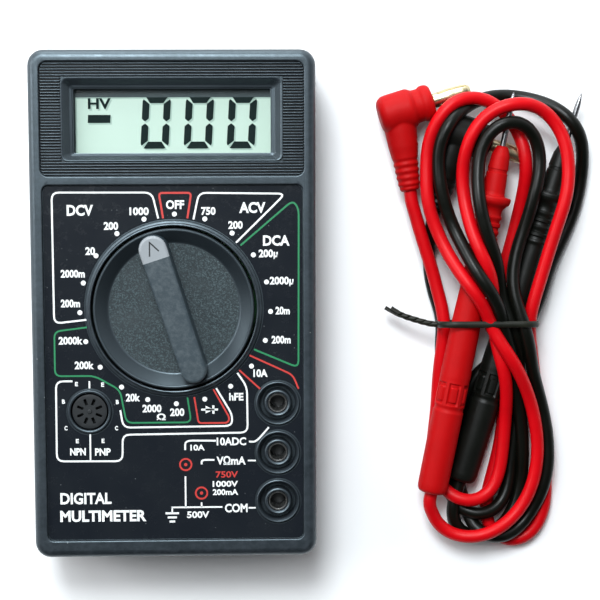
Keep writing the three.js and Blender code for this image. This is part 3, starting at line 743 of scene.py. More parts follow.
PRINT_FOOT = 23.14
PRINT_TOP = 23.18
LABEL_FOOT, LABEL_TOP = 22.95, 23.15
CAPITAL = 0.69  # the height of a capital letter of the built-in font, at size 1
LETTER_PITCH = 1.19  # how far apart the dial's figures stand


def label_film():
    shell = Shell()
    reach = 0.2

    def outline(z, inset=0.0):
        i = reach + inset
        return rounded(i - LABEL_X, LABEL_X - i, LABEL_Y0 + i, LABEL_Y1 - i, 1.6, z)

    foot, top = shell.sweep([outline(LABEL_FOOT), outline(LABEL_TOP - 0.04), outline(LABEL_TOP, 0.04)])
    holes = [(0, DIAL_Y, 22.35, 120), (SOCKET_X, SOCKET_Y, 5.95, 56)]
    holes += [(JACK_X, y, 5.95, 56) for y in JACK_YS]
    walls = [
        shell.sweep([circle(x, y, r + out, z, sides)
                     for out, z in ((0, LABEL_FOOT), (0, LABEL_TOP - 0.04), (0.04, LABEL_TOP))])
        for x, y, r, sides in holes
    ]
    shell.plate(foot, *[low for low, _ in walls])
    shell.plate(top, *[high for _, high in walls])
    shell.piece("face_label_film", "meter", LOOK["label"], "label_print", ["face_label"])


def stroke(shell, points, width=0.45, r=1.2):
    """A printed line of even width."""
    eased = round_corners(points, r) if r and len(points) > 2 else points
    flat_line(shell, eased, width, PRINT_FOOT, PRINT_TOP)


def patch(shell, outline):
    """A printed filled shape."""
    shell.prism(outline, PRINT_FOOT, PRINT_TOP)


def dot(shell, x, y, r, sides):
    """A printed round dot."""
    patch(shell, [p[:2] for p in circle(x, y, r, 0, sides)])


def words(text, x, y, height, width=None, weight=0.035, z=PRINT_FOOT, thick=PRINT_TOP - PRINT_FOOT):
    """Lettering centred on (x, y), with its capitals that high and, where it is given, that wide overall."""
    data = bpy.data.curves.new("words", "FONT")
    data.body = text
    data.align_x = "LEFT"
    data.size = 1.0
    data.offset = weight
    data.resolution_u = 3
    data.fill_mode = "BOTH"
    holder = bpy.data.objects.new("words", data)
    bpy.context.scene.collection.objects.link(holder)
    made = bpy.data.meshes.new_from_object(holder.evaluated_get(bpy.context.evaluated_depsgraph_get()))
    co = np.array([v.co for v in made.vertices])
    left, right = co[:, 0].min(), co[:, 0].max()
    middle = (left + right) / 2
    tall = height / (CAPITAL + 2 * weight)
    across = (len(text) * LETTER_PITCH if width is None else width) / (right - left)
    shell = Shell()
    for level in (z, z + thick):
        shell.ring([((p[0] - middle) * across + x, (p[1] - CAPITAL / 2) * tall + y, level) for p in co])
    count = len(co)
    edges = {}
    for polygon in made.polygons:
        corners = list(polygon.vertices)
        shell.face(corners)
        shell.face(count + i for i in reversed(corners))
        for a, b in zip(corners, corners[1:] + corners[:1]):
            edges[(a, b)] = edges.get((a, b), 0) + 1
    for a, b in edges:
        if (b, a) not in edges:
            shell.face((a, b, count + b, count + a))
    bpy.data.objects.remove(holder)
    bpy.data.meshes.remove(made)
    bpy.data.curves.remove(data)
    return shell


PRINT_SHIFT = 0.25  # the print sits a little to the right on its label
DOTS_X, DOTS_Y, DOTS_RADIUS = 0.1, -0.75, 23.7
DIODE = (8.4, -26.0)

DIAL_WORDS = [
    ("1000", -8.6, 23.7), ("200", -15.6, 20.1), ("20", -20.8, 13.9), ("2000m", -25.2, 8.3),
    ("200m", -25.9, 0.9), ("2000k", -26.0, -8.4), ("200k", -22.7, -14.6), ("20k", -10.7, -22.8),
    ("2000", -6.0, -25.6), ("200", 0.3, -26.6), ("hFE", 15.1, -22.8), ("10A", 21.2, -16.9),
    ("200m", 26.4, -8.5), ("20m", 26.8, -1.2), ("2000µ", 26.6, 6.3), ("200µ", 23.3, 13.1),
    ("200", 15.2, 20.2), ("750", 8.5, 23.7),
]
HEADINGS = [("DCV", -23.2, 24.0, 2.7, 6.5), ("ACV", 19.4, 24.5, 2.7, 6.5), ("DCA", 25.3, 16.3, 2.6, 6.6)]
SOCKET_WORDS = [
    ("E", -24.7, -19.3), ("E", -18.2, -19.5), ("B", -28.0, -23.7), ("B", -14.6, -23.9),
    ("C", -27.5, -30.4), ("C", -14.9, -30.5), ("E", -24.7, -33.7), ("E", -18.3, -33.7),
]
JACK_WORDS = [
    ("10ADC", 13.8, -34.1, 2.0, 7.4), ("VΩmA", 13.7, -39.0, 2.1, 7.3), ("1000V", 12.2, -44.9, 1.5, 6.4),
    ("200mA", 12.2, -47.0, 1.5, 6.4), ("500V", 5.3, -52.7, 1.7, 5.6), ("COM", 14.9, -51.1, 2.2, 5.7),
    ("10A", 5.3, -35.6, 1.5, 3.6),
]


def print_piece(shell, colour):
    """The print in one colour, moved to its place on the label."""
    shell.points = [(x + PRINT_SHIFT, y, z) for x, y, z in shell.points]
    shell.piece(f"face_label_{colour}_print", "meter", LOOK[colour], "label_print", sharp=20)


def white_print():
    shell = Shell()
    for i in range(DIAL_STEPS):
        a = TAU * i / DIAL_STEPS
        a += 0.028 * math.sin(a)  # the dots stand a little wider beside OFF
        x, y = DOTS_X + DOTS_RADIUS * math.sin(a), DOTS_Y + DOTS_RADIUS * math.cos(a)
        dot(shell, x, y, 0.62, 16)
    for text, x, y in DIAL_WORDS:
        shell.add(words(text, x, y, 1.95))
    shell.add(words("OFF", 0.3, 25.3, 2.2, 4.5))
    shell.add(words("Ω", -3.7, -27.8, 1.6, 2.2))
    for text, x, y, height, width in HEADINGS:
        shell.add(words(text, x, y, height, width))
    for text, x, y in SOCKET_WORDS:
        shell.add(words(text, x, y, 1.1, 0.75))
    shell.add(words("NPN", -24.6, -36.4, 1.9, 3.9))
    shell.add(words("PNP", -18.4, -36.5, 1.9, 3.9))
    for text, x, y, height, width in JACK_WORDS:
        shell.add(words(text, x, y, height, width, weight=0.03))
    shell.add(words("DIGITAL", -22.8, -48.3, 2.9, 12.8, weight=0.03))
    shell.add(words("MULTIMETER", -18.5, -52.8, 2.9, 21.6))
    frames = [
        [(-3.9, 21.9), (-5.4, 28.3), (-30.1, 28.4), (-30.0, -4.1), (-21.9, -3.2)],
        [(4.8, 21.6), (6.2, 28.2), (27.6, 27.9), (15.3, 15.8)],
        [(15.4, -16.8), (17.8, -20.3), (17.9, -31.9), (-13.4, -32.2), (-13.5, -38.9), (-29.9, -38.8),
         (-29.8, -18.6), (-25.7, -18.6)],
        [(-13.9, -26.0), (-13.2, -30.4), (13.9, -30.2), (14.1, -27.4), (10.1, -20.6)],
        [(18.2, -34.2), (20.0, -34.3), (23.2, -30.6)],
        [(9.9, -33.9), (2.2, -33.8), (2.2, -36.2)],
        [(9.5, -38.8), (6.3, -38.7), (6.3, -39.9)],
    ]
    for line in frames:
        stroke(shell, line, r=1.8)
    plain = [((17.9, -39.0), (19.9, -39.05)), ((18.0, -51.1), (19.8, -51.1)), ((2.2, -42.9), (2.2, -50.8)),
             ((6.2, -49.6), (6.2, -50.8)), ((-1.4, -50.8), (11.4, -50.8)), ((-1.2, -50.8), (-1.2, -52.1)),
             ((-21.5, -32.0), (-21.5, -38.7)), ((-21.5, -20.4), (-21.5, -18.6))]
    for line in plain:
        stroke(shell, line, 0.4, 0)
    for k, half in enumerate((1.7, 1.15, 0.7)):
        stroke(shell, [(-1.2 - half, -52.3 - 1.05 * k), (-1.2 + half, -52.3 - 1.05 * k)], 0.5, 0)
    x, y = DIODE
    stroke(shell, [(x - 2.1, y), (x + 2.1, y)], 0.5, 0)
    stroke(shell, [(x + 0.95, y - 1.05), (x + 0.95, y + 1.05)], 0.55, 0)
    patch(shell, [(x - 1.0, y - 1.0), (x + 0.9, y), (x - 1.0, y + 1.0)])
    print_piece(shell, "white")


def red_print():
    shell = Shell()
    stroke(shell, [(-2.7, 21.9), (-3.7, 28.2), (4.3, 28.2), (3.3, 21.9)], 0.5, 0.9)
    stroke(shell, [(18.5, -12.4), (29.3, -17.4), (30.7, -20.9)], 0.42, 1.5)
    stroke(shell, [(15.9, -16.1), (21.1, -20.9)], 0.42, 0)
    stroke(shell, [(4.6, -22.8), (5.6, -29.4), (12.9, -29.4), (13.4, -28.2), (9.4, -20.9)], 0.42, 0.8)
    shell.add(words("750V", 12.6, -42.5, 1.6, 5.6, weight=0.02))
    for x, y in ((2.3, -39.9), (6.2, -47.2)):
        ring = [(x + 1.45 * math.cos(TAU * i / 24), y + 1.45 * math.sin(TAU * i / 24)) for i in range(25)]
        stroke(shell, ring, 0.42, 0)
        dot(shell, x, y, 0.42, 14)
    print_piece(shell, "red")


def green_print():
    shell = Shell()
    stroke(shell, [(16.4, 15.1), (29.4, 26.2), (30.9, 24.2), (30.7, -15.6), (19.6, -10.9)], 0.45, 1.8)
    stroke(shell, [(-21.9, -5.1), (-30.0, -6.1), (-30.0, -17.3), (-20.2, -17.3), (-13.9, -20.9),
                   (-12.4, -29.2), (3.8, -29.2), (2.9, -22.9)], 0.42, 1.6)
    print_piece(shell, "green")


# ---------------------------------------------------------------- display

LCD_FACE = box_mm("lcd_panel")[1].z
DIGIT_WIDE, DIGIT_TALL = 7.0, 13.0
PAINTED_SHADOW_X, PAINTED_SHADOW_Y = -24.05, 51.8  # where the painted shadow of the window's frame, along the display's left and top, ends
SLANT = 0.06
SEGMENT = 1.75


def segment(shell, points, origin, z0, z1):
    """One bar of a digit, given by its corners in the digit's own upright frame."""
    x, y = origin
    outline = [(x + u + v * SLANT, y + v) for u, v in points]
    shell.prism(outline, z0, z1)


def zero_digit(shell, x, y, z0, z1):
    """A nought of six bars, with thin gaps at the corners and none across the middle."""
    w, h, t, gap = DIGIT_WIDE / 2, DIGIT_TALL / 2, SEGMENT, 0.2
    cut = 0.55
    for side in (-1, 1):
        level = [(-w + t + gap * 0.4, side * (h - t)), (-w + cut + gap, side * (h - cut * 0.25)),
                 (-w + cut + gap + 0.5, side * h), (w - cut - gap - 0.5, side * h),
                 (w - cut - gap, side * (h - cut * 0.25)), (w - t - gap * 0.4, side * (h - t))]
        segment(shell, level if side > 0 else level[::-1], (x, y), z0, z1)
        for up in (-1, 1):
            bar = [(side * w, up * (h - cut - gap - 0.5)), (side * (w - 0.25), up * (h - cut - gap)),
                   (side * (w - t), up * (h - t - gap)), (side * (w - t), up * 1.0),
                   (side * (w - t * 0.5), up * 0.25), (side * w, up * 0.9)]
            segment(shell, bar, (x, y), z0, z1)


def display_marks(shell, dx, dy, z0, z1):
    for x in (-4.2, 6.5, 17.2):
        zero_digit(shell, x + dx, 45.6 + dy, z0, z1)
    minus = [(-2.8, -1.0), (2.8, -1.0), (2.8, 1.0), (-2.8, 1.0)]
    segment(shell, minus, (-18.2 + dx, 46.5 + dy), z0, z1)
    shell.add(words("HV", -18.1 + dx, 50.3 + dy, 2.7, 5.7, weight=0.03, z=z0, thick=z1 - z0))


def thin_plate(name, node, r, edge, look, slot):
    """A plate as large as its CAD node, with round corners and eased edges."""
    low, high = box_mm(node)
    shell = Shell()
    shell.closed_sweep([rounded(low.x + i, high.x - i, low.y + i, high.y - i, r, z)
                        for i, z in ((edge, low.z), (0, low.z + edge), (0, high.z - edge), (edge, high.z))])
    shell.piece(name, "meter", look, slot, [node])


def display():
    shadow = Shell()
    display_marks(shadow, 0.35, -0.4, LCD_FACE - 0.02, LCD_FACE + 0.012)
    shadow.piece("lcd_segment_shadows", "meter", LOOK["segment_shadow"], "lcd_glass", sharp=20)
    marks = Shell()
    display_marks(marks, 0, 0, LCD_FACE - 0.01, LCD_FACE + 0.03)
    marks.piece("lcd_segments", "meter", LOOK["segment"], "lcd_glass", sharp=20)
    low, high = box_mm("lcd_panel")
    # A painted shadow of the window's frame along the top and left of the display: a dark band, with a
    # half-tone painted edge along its inner side.
    for name, inside, lift, look in (("lcd_painted_shadow", 0, 0.034, "lcd_painted_shadow"),
                                     ("lcd_painted_shadow_edge", 0.35, 0.012, "segment_shadow")):
        painted_band = Shell()
        band = [(low.x, low.y), (PAINTED_SHADOW_X + inside, low.y), (PAINTED_SHADOW_X + inside, PAINTED_SHADOW_Y - inside),
                (high.x, PAINTED_SHADOW_Y - inside), (high.x, high.y), (low.x, high.y)]
        painted_band.prism(band, LCD_FACE - 0.02, LCD_FACE + lift)
        painted_band.piece(name, "meter", LOOK[look], "lcd_glass", sharp=20)
    thin_plate("lcd_glass_plate", "lcd_panel", 0.4, 0.1, LOOK["lcd"], "lcd_glass")
    thin_plate("display_lens_plate", "display_lens", 0.6, 0.15, LOOK["lens"], "clear_window")


# ---------------------------------------------------------------- selector

DIAL_SPIN = Matrix.Translation((0, DIAL_Y, 0)) @ Matrix.Rotation(DIAL_TURN, 4, "Z")
BAR_REACH, BAR_WIDE, BAR_NARROW = 19.1, 7.0, 6.3
KNOB_TOP = box_mm("selector_knob")[1].z
TIP_FROM = 12.9  # where the painted tip of the bar begins
PAINT_LOW = KNOB_TOP - 0.55  # how far the paint comes down the tip's edge


def bar_outline(inset, z, steps=14):
    """The bar across the knob: two round ends and straight sides, a little wider at its pointing end."""
    front, back = BAR_WIDE / 2, BAR_NARROW / 2
    points = []
    for r, y, start in ((front, BAR_REACH - front, 0), (back, back - BAR_REACH, TAU / 2)):
        for i in range(steps + 1):
            a = start + TAU / 2 * i / steps
            points.append(((r - inset) * math.cos(a), y + (r - inset) * math.sin(a), z))
    return points


def selector():
    dish = Shell()
    rim = [(0, 17.3), (19.4, 17.3), (20, 17.9), (20, 24.3), (19.93, 24.65), (19.75, 24.86), (19.5, 24.9)]
    rim += [(19.3, 24.82), (19.15, 24.6), (16.75, 22.62), (16.5, 22.46), (16.2, 22.4)]
    dish.sweep(turned(rim, sides=120))
    dish.finish = 1
    dish.sweep(turned([(16.2, 22.4), (10, 22.4), (0, 22.4)], sides=120))
    dish.move(DIAL_SPIN)
    looks = [LOOK["knob_rim"], LOOK["knob"]]
    dish.piece("selector_dish", "selector", looks, "knob_plastic", ["selector_knob"])
    bar = Shell()
    r = 0.75
    profile = [(-0.35, 22.0), (-0.3, 22.6), (-0.05, 26.0), (0, KNOB_TOP - r)]
    profile += [(r * (1 - math.cos(a)), KNOB_TOP - r + r * math.sin(a)) for a in np.linspace(0.3, TAU / 4, 6)]
    bar.closed_sweep([bar_outline(i, z) for i, z in profile])
    data = bar.mesh("selector_bar", [LOOK["knob_bar"], LOOK["pointer"]])
    work = bmesh.new()
    work.from_mesh(data)
    for co, no in (((0, TIP_FROM * MM, 0), (0, 1, 0)), ((0, 0, PAINT_LOW * MM), (0, 0, 1))):
        geometry = work.verts[:] + work.edges[:] + work.faces[:]
        bmesh.ops.bisect_plane(work, geom=geometry, plane_co=co, plane_no=no)
    for face in work.faces:
        middle = face.calc_center_median() / MM
        face.material_index = int(middle.y > TIP_FROM and middle.z > PAINT_LOW)
        face.smooth = True
    spin = Matrix.Scale(MM, 4) @ DIAL_SPIN @ Matrix.Scale(1 / MM, 4)
    bmesh.ops.transform(work, matrix=spin, verts=work.verts)
    work.to_mesh(data)
    work.free()
    data.set_sharp_from_angle(angle=math.radians(32))
    piece = new_object("selector_bar", data, "selector", ["selector_knob"])
    piece.modifiers.new("even_shading", "WEIGHTED_NORMAL").keep_sharp = True
    caret = Shell()
    flat_line(caret, [(-1.25, 14.3), (-0.15, 17.6), (1.35, 14.9)], 0.33, KNOB_TOP - 0.02, KNOB_TOP + 0.02)
    caret.move(DIAL_SPIN)
    caret.piece("selector_pointer_mark", "selector", LOOK["insert"], "knob_plastic", sharp=20)


# ---------------------------------------------------------------- sockets


def jack_sleeve(node, y):
    profile = [(2.0, 8.5), (2.4, 8.6), (2.4, 22.85), (2.3, 23.0), (2.15, 23.0), (2.0, 22.8), (2.0, 8.5)]
    shell = Shell()
    shell.sweep(turned(profile, JACK_X, y, 40))
    shell.piece(f"{node}_sleeve", "meter", LOOK["sleeve"], "brass_contact", [node])
    # painted shade: a dark disc low in the bore makes the jack's bore read black
    floor = Shell()
    floor.closed_sweep(turned([(1.98, 16.3), (1.98, 16.9), (1.5, 17.0), (0, 17.0)], JACK_X, y, 32))
    floor.piece(f"{node}_floor", "meter", LOOK["insert"], "dark_insert")


def transistor_socket():
    """A round insert with eight slots for transistor legs, and a small locating pip."""
    shell = Shell()
    low, high = box_mm("transistor_socket")
    profile = [(4.2, low.z), (4.4, low.z + 0.2), (4.4, high.z - 0.5), (4.3, high.z - 0.3)]
    profile += [(4.0, high.z - 0.25)]
    foot, edge = shell.sweep(turned(profile, SOCKET_X, SOCKET_Y, 56))
    shell.face(foot)
    slots = []
    for i in range(8):
        spin = Matrix.Translation((SOCKET_X, SOCKET_Y, 0)) @ Matrix.Rotation(TAU * (i + 0.5) / 8, 4, "Z")
        loops = [[tuple(spin @ Vector(p)) for p in rounded(1.7 - o, 3.3 + o, -0.32 - o, 0.32 + o, 0.2, z, 3)]
                 for o, z in ((0.08, high.z - 0.25), (0, high.z - 0.35), (0, high.z - 2.5))]
        top, floor = shell.sweep(loops)
        shell.face(floor)
        slots.append(top)
    shell.plate(edge, *slots)
    pip = [(0.62, high.z - 0.3), (0.55, high.z - 0.1), (0.4, high.z), (0, high.z)]
    shell.closed_sweep(turned(pip, SOCKET_X, SOCKET_Y, 20))
    name = "transistor_socket"
    shell.piece(f"{name}_insert", "meter", LOOK["insert"], "dark_insert", [name])


# ---------------------------------------------------------------- test leads

CORD = 3.4  # the leads' diameter
ON_TABLE = CORD / 2 + 0.06  # the lowest that a cord's middle lies
APART = CORD + 0.12  # between the middles of two cords that touch
TIE_LOW, TIE_HIGH = Vector((67.3, -7.6, 0.2)), Vector((93.9, -5.4, 14.3))
TIE_CORNER = 5.0
TIE_THICK = 0.9
TIE_TAIL = [(67.6, -6.5, 8.6), (65.2, -6.2, 8.2), (61.5, -5.2, 7.6), (58, -4.0, 6.6), (54.2, -1.9, 5.7)]


class Lead:
    """Where one test lead's plug and probe lie, and the way its cord takes between them."""

    def __init__(self, colour, plug_at, plug_turn, lean, probe_at, probe_turn, probe_rise, way):
        self.colour = colour
        self.plug = self.placed(plug_at, plug_turn, 0)
        self.relief = self.plug @ Matrix.Rotation(math.radians(-90 - lean), 4, "Z")
        self.probe = self.placed(probe_at, probe_turn, probe_rise)
        self.start = self.relief @ Vector((20.5, 0, 0))
        leave = [self.start, self.relief @ Vector((24.0, 0, 0))]
        arrive = [self.probe @ Vector((-2.6, 0, 0)), self.probe @ Vector((0, 0, 0))]
        self.way = [tuple(p) for p in (*leave, *way, *arrive)]

    @staticmethod
    def placed(at, turn, rise):
        spin = Matrix.Rotation(math.radians(turn), 4, "Z") @ Matrix.Rotation(math.radians(-rise), 4, "Y")
        return Matrix.Translation(at) @ spin


RED = Lead(
    "red", (57.4, 48.4, 5.6), 17, 8, (66.2, -50.7, 8), 78.9, 1.4,
    [(64.5, 14, 5), (68, 1, 4), (69.8, -19, 4), (69, -36, 3), (68.8, -45.4, 3.5), (70.9, -52.2, 4),
     (76.8, -55.2, 5), (82.7, -52, 5.4), (84.7, -44.6, 5.6), (85.8, -34, 6.6), (85.5, -19, 8),
     (83.5, -6, 10.5), (79.5, 8, 14), (75, 21, 12), (73.3, 33, 10), (75.6, 43, 10), (81, 49, 13),
     (88, 51, 14), (95, 49, 12), (100, 42, 11.5), (101.3, 33, 12), (98.9, 22, 13), (95, 9, 12.5),
     (91.6, -3, 10), (92, -10, 8.5), (93.6, -18, 4.5), (95, -27, 2.5), (96.4, -37, 2), (97.2, -47, 2),
     (97.4, -54.5, 2), (95.9, -60.6, 2), (93, -64.8, 2), (88.2, -66.2, 2), (83.4, -64.5, 2),
     (80.9, -58.6, 2), (82.4, -50, 2), (84.9, -41, 2), (86.3, -31, 2), (86.6, -19, 3), (86.2, -6, 4.5),
     (86.5, 9, 6), (89.5, 24, 7.5), (90.8, 35, 10), (87.5, 46, 7), (80, 52.2, 6), (71.5, 51, 8),
     (65.8, 44, 9), (64, 33, 9), (66.3, 20, 10), (71.5, 9, 14), (76.8, 2, 16), (81.5, -5, 13),
     (86.5, -15, 11), (90.8, -23, 10.5), (93.6, -32, 10), (94.6, -42, 9), (92.8, -51.5, 8.5),
     (88, -58.5, 8.5), (82, -62.8, 8.5), (75, -63.6, 8), (69.3, -61.8, 8), (65.6, -57.4, 8)],
)
BLACK = Lead(
    "black", (72.6, 43, 5.3), -20, -5, (74.3, -48.3, 4.15), 73.2, 1.1,
    [(65.4, 16, 4.7), (66, 7, 3), (68.5, -12, 2), (70.5, -34, 2), (70.6, -47, 2), (72.6, -54.8, 3),
     (79.6, -58.8, 5), (86.6, -54.6, 5.3), (88.6, -46, 4), (89.4, -32, 2), (88.6, -18, 3), (84.8, -5, 8),
     (81.5, 8, 14.5), (78.5, 20, 16.5), (77.2, 31, 14.5), (77.5, 38.5, 13.5), (80.4, 44.4, 14),
     (85.8, 47, 14), (91.5, 44.3, 12.5), (94.2, 36.4, 11), (93.4, 28, 10), (90.8, 20, 10), (87, 8, 9),
     (86.6, -2, 8), (88.6, -9, 8), (91.2, -16, 8), (93.6, -22, 7.5), (95.6, -28, 6.5), (97.2, -36, 6),
     (97.6, -44, 5.5), (96.6, -51, 5), (93, -58.6, 5), (86.8, -63.6, 5.8), (79.6, -63.2, 5.4),
     (74.8, -58, 2.5), (74.2, -49, 2), (77, -38, 2), (80.5, -26, 3), (85, -14, 4), (92, -3, 9),
     (97.2, 8, 6), (103, 19, 4), (106, 30, 3), (105.8, 39.5, 5), (101.8, 47.4, 9), (94, 51.6, 6),
     (85.5, 53, 4), (77, 52.5, 4), (70.4, 48.2, 7), (67.2, 39.5, 10.5), (68, 28, 10), (72.5, 16, 12),
     (79, 5.5, 17.5), (84.5, -5, 11.5), (88, -20, 6.5), (90.3, -34, 5.4), (90.4, -46, 5), (89.6, -55, 3.5),
     (86, -61.6, 2.5), (79.8, -64.8, 2.5), (73.8, -62.8, 2.8), (71.8, -57, 3.7)],
)


def gaps(line):
    """The distances between neighbouring points of a line."""
    return np.linalg.norm(np.diff(line, axis=0), axis=1)


def resampled(points, count):
    """That many points at even steps along a line."""
    line = np.array(points, float)
    steps = np.r_[0, np.cumsum(gaps(line))]
    even = np.linspace(0, steps[-1], count)
    return np.stack([np.interp(even, steps, line[:, k]) for k in range(3)], 1)


def smooth_line(points, count):
    """A Catmull-Rom curve through the points, at even steps."""
    p = np.array([points[0], *points, points[-1]], float)
    dense = []
    for a, b, c, d in zip(p, p[1:], p[2:], p[3:]):
        for t in np.linspace(0, 1, 12, endpoint=False):
            dense.append(0.5 * (2 * b + (c - a) * t + (2 * a - 5 * b + 4 * c - d) * t**2
                                + (3 * b - a - 3 * c + d) * t**3))
    return resampled([*dense, points[-1]], count)


def rods_near_the_cords():
    """Straight round bodies that the cords lie round: start, end and radius."""
    rods = []
    probe_rods = ((3, 62, 4.0), (62, 76, 3.4), (77.5, 79, 4.9), (79, 91, 2.6), (91, 105, 0.8))
    for lead in (RED, BLACK):
        for place, spans in ((lead.probe, probe_rods), (lead.plug, ((-1.5, 7, 5.1), (9, 19, 2.0))),
                             (lead.relief, ((3, 17, 3.8),))):
            rods += [(np.array(place @ Vector((x0, 0, 0))), np.array(place @ Vector((x1, 0, 0))), r)
                     for x0, x1, r in spans]
    return rods


CLEARANCE, MOST_PUSH = 0.05, 0.6  # round the rods, and in one step


def push_from_rods(p, rods, free):
    for a, b, r in rods:
        along = b - a
        t = np.clip((p - a) @ along / (along @ along), 0, 1)
        away = p - (a + t[:, None] * along)
        gap = np.linalg.norm(away, axis=1)
        need = np.clip(r + CORD / 2 + CLEARANCE - gap, 0, None) * free
        p += away / np.maximum(gap, 1e-6)[:, None] * np.minimum(need, MOST_PUSH)[:, None]


ROUNDS = 420  # of settling
SPACING = 2.6  # between the points of a cord while it settles
TIGHTEST = 11.0  # the radius below which a bend is opened a little in every round
SAG_LIMIT = SPACING**2 / 2 / TIGHTEST
MOST_SINK = 2.5  # how far a cord can sink below its listed height before what lies under it holds it
WEIGHT = 0.10  # how far a loose point sinks in a round
SHAPE_PULL = 0.12  # how strongly a point is drawn back to the place where it was laid
STIFFNESS = 0.05  # how strongly a cord straightens
OPENING = 0.7  # how much of a too sharp bend is opened at once
OVER = 0.4  # how strongly the upper of two cords that meet is lifted over the lower one
PARTING = 0.25  # how much of an overlap is undone at once, on each side
KIN = 5  # points of one cord that are fewer than that many places apart aren't pushed apart
HELD_END = 8  # over that many points from its ends a cord goes from held to loose
TIE_HALF, TIE_HOLD = 1.1, 3.0  # half the tie's breadth, and how far to each side it holds the cords


def ease_bends(p, which, free):
    """Straightens the cords a little, and opens the bends that are too sharp."""
    inner = (which[:-2] == which[2:]) * free[1:-1]
    off = (p[:-2] + p[2:]) / 2 - p[1:-1]
    p[1:-1] += off * (STIFFNESS * inner)[:, None]
    sag = np.linalg.norm(off, axis=1)
    sharp = off * (inner * np.clip(1 - SAG_LIMIT / np.maximum(sag, 1e-6), 0, 1) * OPENING)[:, None]
    p[1:-1] += sharp
    p[:-2] -= sharp / 2 * free[:-2, None]
    p[2:] -= sharp / 2 * free[2:, None]


def keep_length(p, which, step, free):
    """Brings neighbours along a cord back to their own distance: the even pairs, then the odd ones."""
    joined = np.nonzero(which[1:] == which[:-1])[0]
    for parity in (0, 1):
        i = joined[joined % 2 == parity]
        d = p[i + 1] - p[i]
        long = np.linalg.norm(d, axis=1)
        fix = d * ((long - step[which[i]]) / np.maximum(long, 1e-6) / 2)[:, None]
        p[i] += fix * free[i][:, None]
        p[i + 1] -= fix * free[i + 1][:, None]


def keep_apart(p, home, pairs, free):
    """Pushes cords that meet apart, with the one that was laid higher on top."""
    d = p[:, None] - p[None]
    gap2 = (d**2).sum(2)
    i, j = np.nonzero(pairs & (gap2 < APART**2))
    away = d[i, j]
    gap = np.sqrt(gap2[i, j])
    away[:, 2] += np.where(np.abs(away[:, 2]) < OVER, OVER * np.sign(home[i, 2] - home[j, 2] + 1e-3), 0)
    away /= np.maximum(np.linalg.norm(away, axis=1), 1e-6)[:, None]
    need = (APART - gap)[:, None] * away * PARTING
    np.add.at(p, i, need * free[i][:, None])
    np.add.at(p, j, -need * free[j][:, None])


def keep_in_tie(p):
    tied = np.abs(p[:, 1] - TIE_LOW.y - TIE_HALF) < TIE_HOLD
    for axis in (0, 2):
        lowest = TIE_LOW[axis] + TIE_THICK + CORD / 2
        p[tied, axis] = np.clip(p[tied, axis], lowest, TIE_HIGH[axis] - TIE_THICK - CORD / 2)


def settle(leads):
    """Lets the cords sink under their own weight onto the table, the probes and each other, at their own
    length. Every step is a fixed sum, so that each run gives the same lines."""
    lines = []
    for lead in leads:
        rough = smooth_line(lead.way, 400)
        lines.append(resampled(rough, int(gaps(rough).sum() / SPACING)))
    start = np.cumsum([0] + [len(line) for line in lines])
    p = np.concatenate(lines)
    home = p.copy()
    step = np.array([gaps(line).mean() for line in lines])
    which = np.repeat(np.arange(len(lines)), np.diff(start))
    free = np.ones(len(p))
    loose = np.zeros(len(p))
    for first, last in zip(start, start[1:]):
        free[first:first + 2] = 0
        free[last - 2:last] = 0
        from_end = np.minimum(np.arange(last - first), np.arange(last - first)[::-1])
        loose[first:last] = np.clip((from_end - 1) / HELD_END, 0, 1)
    order = np.arange(len(p))
    near_kin = (np.abs(order[:, None] - order[None, :]) < KIN) & (which[:, None] == which[None, :])
    pairs = np.triu(~near_kin, 1)
    rods = rods_near_the_cords()
    for turn in range(ROUNDS):
        still_heavy = turn / ROUNDS < 0.85  # in the last rounds the cords come to rest
        p[:, 2] -= WEIGHT * loose * (0.4 + 0.6 * still_heavy)
        p[:, :2] += (home[:, :2] - p[:, :2]) * (SHAPE_PULL * free)[:, None]
        for _ in range(3):
            ease_bends(p, which, free)
            keep_length(p, which, step, free)
        for _ in range(2):
            keep_apart(p, home, pairs, free)
            push_from_rods(p, rods, free)
        keep_in_tie(p)
        p[:, 2] = np.maximum(p[:, 2], np.maximum(ON_TABLE, home[:, 2] - MOST_SINK))
    return [eased_line(p[a:b]) for a, b in zip(start, start[1:])]


def eased_line(line):
    """The line with its small kinks smoothed out and its straight ends kept."""
    eased = line.copy()
    for _ in range(4):
        eased[2:-2] = eased[2:-2] * 0.5 + (eased[1:-3] + eased[3:-1]) * 0.25
        eased[:, 2] = np.maximum(eased[:, 2], ON_TABLE)
    return eased


def make_cord(lead, line, material):
    """One lead's cord, as one open curve through the settled points."""
    data = bpy.data.curves.new(f"{lead.colour}_lead_cord", "CURVE")
    data.dimensions = "3D"
    data.bevel_depth = CORD / 2 * MM
    data.bevel_resolution = 6
    data.resolution_u = 5
    data.use_fill_caps = True
    spline = data.splines.new("BEZIER")
    points = smooth_line(list(line), int(len(line) * 0.8))
    spline.bezier_points.add(len(points) - 1)
    for knot, p in zip(spline.bezier_points, points):
        knot.co = Vector(p) * MM
        knot.handle_left_type = knot.handle_right_type = "AUTO"
    data.materials.append(material)
    stands_for = [f"{lead.colour}_lead_hank"]
    cord = new_object(data.name, data, "test_leads", stands_for)


def shaped_along_x(shell, stations, radius, sides, matrix):
    """A round body along +X whose radius depends on the place along it and on the angle round it."""
    loops = []
    for s in stations:
        angles = [TAU * i / sides for i in range(sides)]
        loops.append([tuple(matrix @ Vector((s, radius(s, a) * math.cos(a), radius(s, a) * math.sin(a))))
                      for a in angles])
    shell.closed_sweep(loops)


def through(knots):
    """A function that runs straight between (place, value) knots."""
    places, values = zip(*knots)
    return lambda s: float(np.interp(s, places, values))


